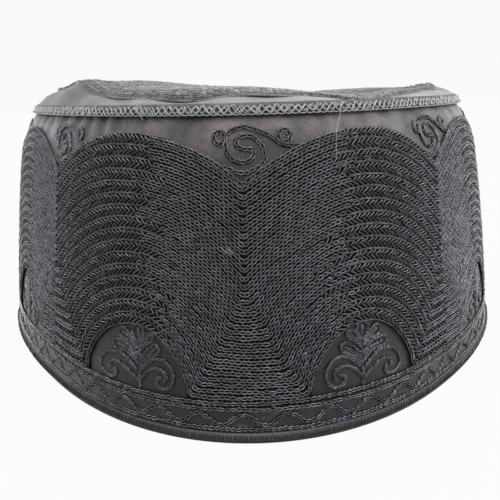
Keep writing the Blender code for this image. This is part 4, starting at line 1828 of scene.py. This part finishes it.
@dataclass
class RimBinding:
    """The bound edge that the cap stands on, whipped with upright stitches."""

    shape: CapShape
    height: float = 2.6 * MM
    bulge: float = 0.3 * MM
    depth: float = 2.9 * MM          # from the wall's face to its inner cloth
    columns: int = 480
    strip_map: tuple = (0.59, 0.012)
    whip_pitch: float = 0.95 * MM
    whip_heights: tuple = (0.85 * MM, 2.75 * MM)
    whip_slant: float = 0.22         # in degrees
    whip_sink: float = 0.12 * MM     # under the strip's face
    whip_tone: float = 0.35

    def strip(self) -> bpy.types.Object:
        """Fold the strip, a closed ring with a flat foot.

        Returns:
            The strip.
        """
        high, near, far = self.height, -self.bulge, self.depth
        section = np.array([(0.0, near + 0.5 * MM), (0.25 * MM, near + 0.12 * MM),
                            (0.65 * MM, near), (high - 0.7 * MM, near),
                            (high - 0.25 * MM, near + 0.15 * MM), (high, near + 0.6 * MM),
                            (high, far - 0.5 * MM), (high - 0.5 * MM, far), (0.5 * MM, far),
                            (0.0, far - 0.5 * MM), (0.0, near + 0.5 * MM)]).T
        steps = np.linspace(0, 1, section.shape[1])

        def place(along: np.ndarray, across: np.ndarray) -> np.ndarray:
            """Bend the strip round its section and round the cap."""
            return self.shape.wall(along * 360, *(np.interp(across, steps, row) for row in section))

        piece = wrapped_cloth("rim_binding_strip", self.columns, len(steps) - 1, self.strip_map,
                              place, BINDING_CLOTH.make())
        return place_piece(piece, Slot.BINDING, "rim_binding")

    def whipping(self) -> bpy.types.Object:
        """Sew upright stitches over the binding's upper part.

        Returns:
            The stitches.
        """
        work, heights = Embroidery(WHIP_STITCH, Seed.WHIPPING.value), np.array(self.whip_heights)
        count = round(self.shape.foot_girth / self.whip_pitch)
        for angle in np.arange(count) * 360 / count:
            angles = np.array([angle, angle + self.whip_slant])
            work.sew(self.shape.wall(angles, heights, self.whip_sink - self.bulge),
                     self.shape.outward(angles, heights), tone=self.whip_tone)
        piece = work.finish("rim_whip_stitches", BINDING_CLOTH.make())
        return place_piece(piece, Slot.BINDING)

    def build(self) -> None:
        """Make the binding."""
        self.strip()
        self.whipping()


@dataclass
class LooseThreads:
    """Stray thread ends and a snag that show at the front."""

    shape: CapShape
    # angle, height and lift over the wall's face, in degrees and millimetres
    tail: tuple = ((17.3, 79.2, 0.3), (16.6, 76.6, 0.7), (16.0, 74.4, 0.5), (15.5, 72.6, 0.6),
                   (15.2, 70.0, 0.5), (15.0, 66.6, 0.3))
    ends: tuple = (((-18.4, 79.4, 0.5), (-17.8, 78.2, 0.9), (-17.2, 76.9, 0.5)),
                   ((-19.2, 78.8, 0.5), (-17.9, 77.9, 0.8), (-16.9, 76.0, 0.2)))
    snag: tuple = (((-3.3, 47.4, 0.1), (-2.8, 46.9, 0.7), (-2.3, 46.2, 0.1)),
                   ((-2.9, 46.0, 0.1), (-2.4, 46.4, 0.6), (-1.8, 45.7, 0.1)),
                   ((-2.2, 47.2, 0.1), (-1.9, 46.6, 0.6), (-1.5, 46.3, 0.1)))

    def build(self) -> None:
        """Lay the loose threads."""
        groups = (("stray_thread", [self.tail, *self.ends], 0.16 * MM, BRAID_THREAD, 0.3, Slot.BRAID),
                  ("thread_snag", list(self.snag), 0.34 * MM, WALL_THREAD, 1.0, Slot.WALL_THREAD))
        for name, paths, thick, finish, tone, slot in groups:
            lines = []
            for path in paths:
                angle, height, lift = curved(path).T
                lines.append((self.shape.wall(angle, height * MM, -lift * MM),
                              self.shape.outward(angle, height * MM)))
            place_piece(thread_tubes(name, lines, thick, finish.make(), False, tone=tone), slot)


@dataclass
class Studio:
    """A white table in a light tent, and the camera at the photograph's place."""

    distance: float = 0.2063         # from the cap's middle to the camera
    height: float = 0.08185
    pitch: float = 13.37             # degrees down
    roll: float = -1.51
    lens: float = 37.09
    shift: tuple = (0.0099, -0.07)
    white: float = 0.95              # the tent's wall as the camera sees it
    above: float = 1.45              # the light that it gives from above
    below: float = 0.32              # and from below
    tent_heights: tuple = (-0.4, 0.9)    # the light turns from one to the other between these
    table_size: float = 6.0
    table_colour: str = "#1c1c1c"
    table_glow: float = 0.95
    # name, place, aim, size and power of each soft box
    boxes: tuple = (("top box", (0.0, -0.05, 0.55), (0.0, 0.0, 0.0), (0.4, 0.4), 2.5),
                    ("front box", (0.05, -0.60, 0.50), (0.0, 0.0, 0.04), (0.3, 0.2), 1.6),
                    ("right box", (0.55, -0.15, 0.25), (0.0, 0.0, 0.04), (0.3, 0.4), 2.4),
                    ("left box", (-0.55, -0.15, 0.20), (0.0, 0.0, 0.04), (0.3, 0.4), 0.4),
                    ("left back box", (-0.55, 0.30, 0.03), (0.0, 0.0, 0.03), (0.3, 0.2), 2.4),
                    ("right back box", (0.50, 0.35, 0.10), (0.0, 0.0, 0.03), (0.3, 0.3), 1.2))

    def camera(self) -> None:
        """Set the camera."""
        data = bpy.data.cameras.new("camera")
        data.lens = self.lens
        data.sensor_width = 36.0
        data.sensor_fit = "HORIZONTAL"
        data.clip_start = 0.005
        data.shift_x, data.shift_y = self.shift
        camera = bpy.data.objects.new("camera", data)
        camera.matrix_world = (Matrix.Translation((0.0, -self.distance, self.height))
                               @ Matrix.Rotation(math.radians(90 - self.pitch), 4, "X")
                               @ Matrix.Rotation(math.radians(self.roll), 4, "Z"))
        bpy.context.scene.collection.objects.link(camera)
        bpy.context.scene.camera = camera

    def floor(self) -> None:
        """Lay the white table."""
        deselect_all()
        bpy.ops.mesh.primitive_plane_add(size=self.table_size, location=(0.0, 0.0, -0.05 * MM))
        table = bpy.context.object
        table.name = "floor"
        material, tree, shader = start_material("white table")
        set_sockets(tree, shader, {
            "Base Color": to_linear(self.table_colour), "Roughness": 0.9, "Specular IOR Level": 0.0,
            "Emission Color": to_linear("#ffffff"), "Emission Strength": self.table_glow})
        table.data.materials.append(material)
        table.visible_diffuse = table.visible_glossy = False

    def light(self, name: str, place: tuple, aim: tuple, size: tuple, watts: float) -> None:
        """Hang one soft box.

        Args:
            name: its name.
            place: where it hangs.
            aim: the point that it faces.
            size: its width and length.
            watts: its power.
        """
        data = bpy.data.lights.new(name, "AREA")
        data.shape = "RECTANGLE"
        data.size, data.size_y = size
        data.energy = watts
        lamp = bpy.data.objects.new(name, data)
        turn = Vector(place) - Vector(aim)
        lamp.matrix_world = Matrix.Translation(place) @ turn.to_track_quat("Z", "Y").to_matrix().to_4x4()
        bpy.context.scene.collection.objects.link(lamp)

    def build(self) -> None:
        """Set the stage."""
        self.camera()
        self.floor()
        self.tent()
        for name, place, aim, size, watts in self.boxes:
            self.light(name, place, aim, size, watts)

    def tent(self) -> None:
        """Hang the white tent round the table."""
        world = bpy.data.worlds.new("light tent")
        world.use_nodes = True
        tree = world.node_tree
        seen = add_node(tree, "ShaderNodeLightPath").outputs["Is Camera Ray"]
        direction = add_node(tree, "ShaderNodeTexCoord").outputs["Generated"]
        upright = add_node(tree, "ShaderNodeSeparateXYZ", {"Vector": direction}).outputs["Z"]
        soft = add_node(tree, "ShaderNodeMapRange", {
            "Value": upright, "From Min": self.tent_heights[0], "From Max": self.tent_heights[1],
            "To Min": self.below, "To Max": self.above})
        strength = add_node(tree, "ShaderNodeMix", {
            "Factor": seen, "A": soft.outputs[0], "B": self.white}, data_type="FLOAT")
        set_sockets(tree, tree.nodes["Background"], {
            "Color": to_linear("#ffffff"), "Strength": mix_output(strength, "VALUE")})
        bpy.context.scene.world = world
        bpy.context.scene.view_settings.view_transform = "Standard"


def main() -> None:
    """Load the frame and dress the cap."""
    logging.basicConfig(level=logging.INFO, format="%(message)s")
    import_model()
    shape = CapShape()
    plan = ArchPlan(shape)
    low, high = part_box("side_band")
    LOG.info("the band's solid is %.1f mm wide and %.1f mm high",
             (high[0] - low[0]) / MM, (high[2] - low[2]) / MM)
    Studio().build()
    BandCloth(shape).build()
    CrownCloth(shape).build()
    WallEmbroidery(plan).build()
    CrownEmbroidery(shape).build()
    SeamBraid(shape).build()
    RimBinding(shape).build()
    LooseThreads(shape).build()


if __name__ == "__main__":
    main()
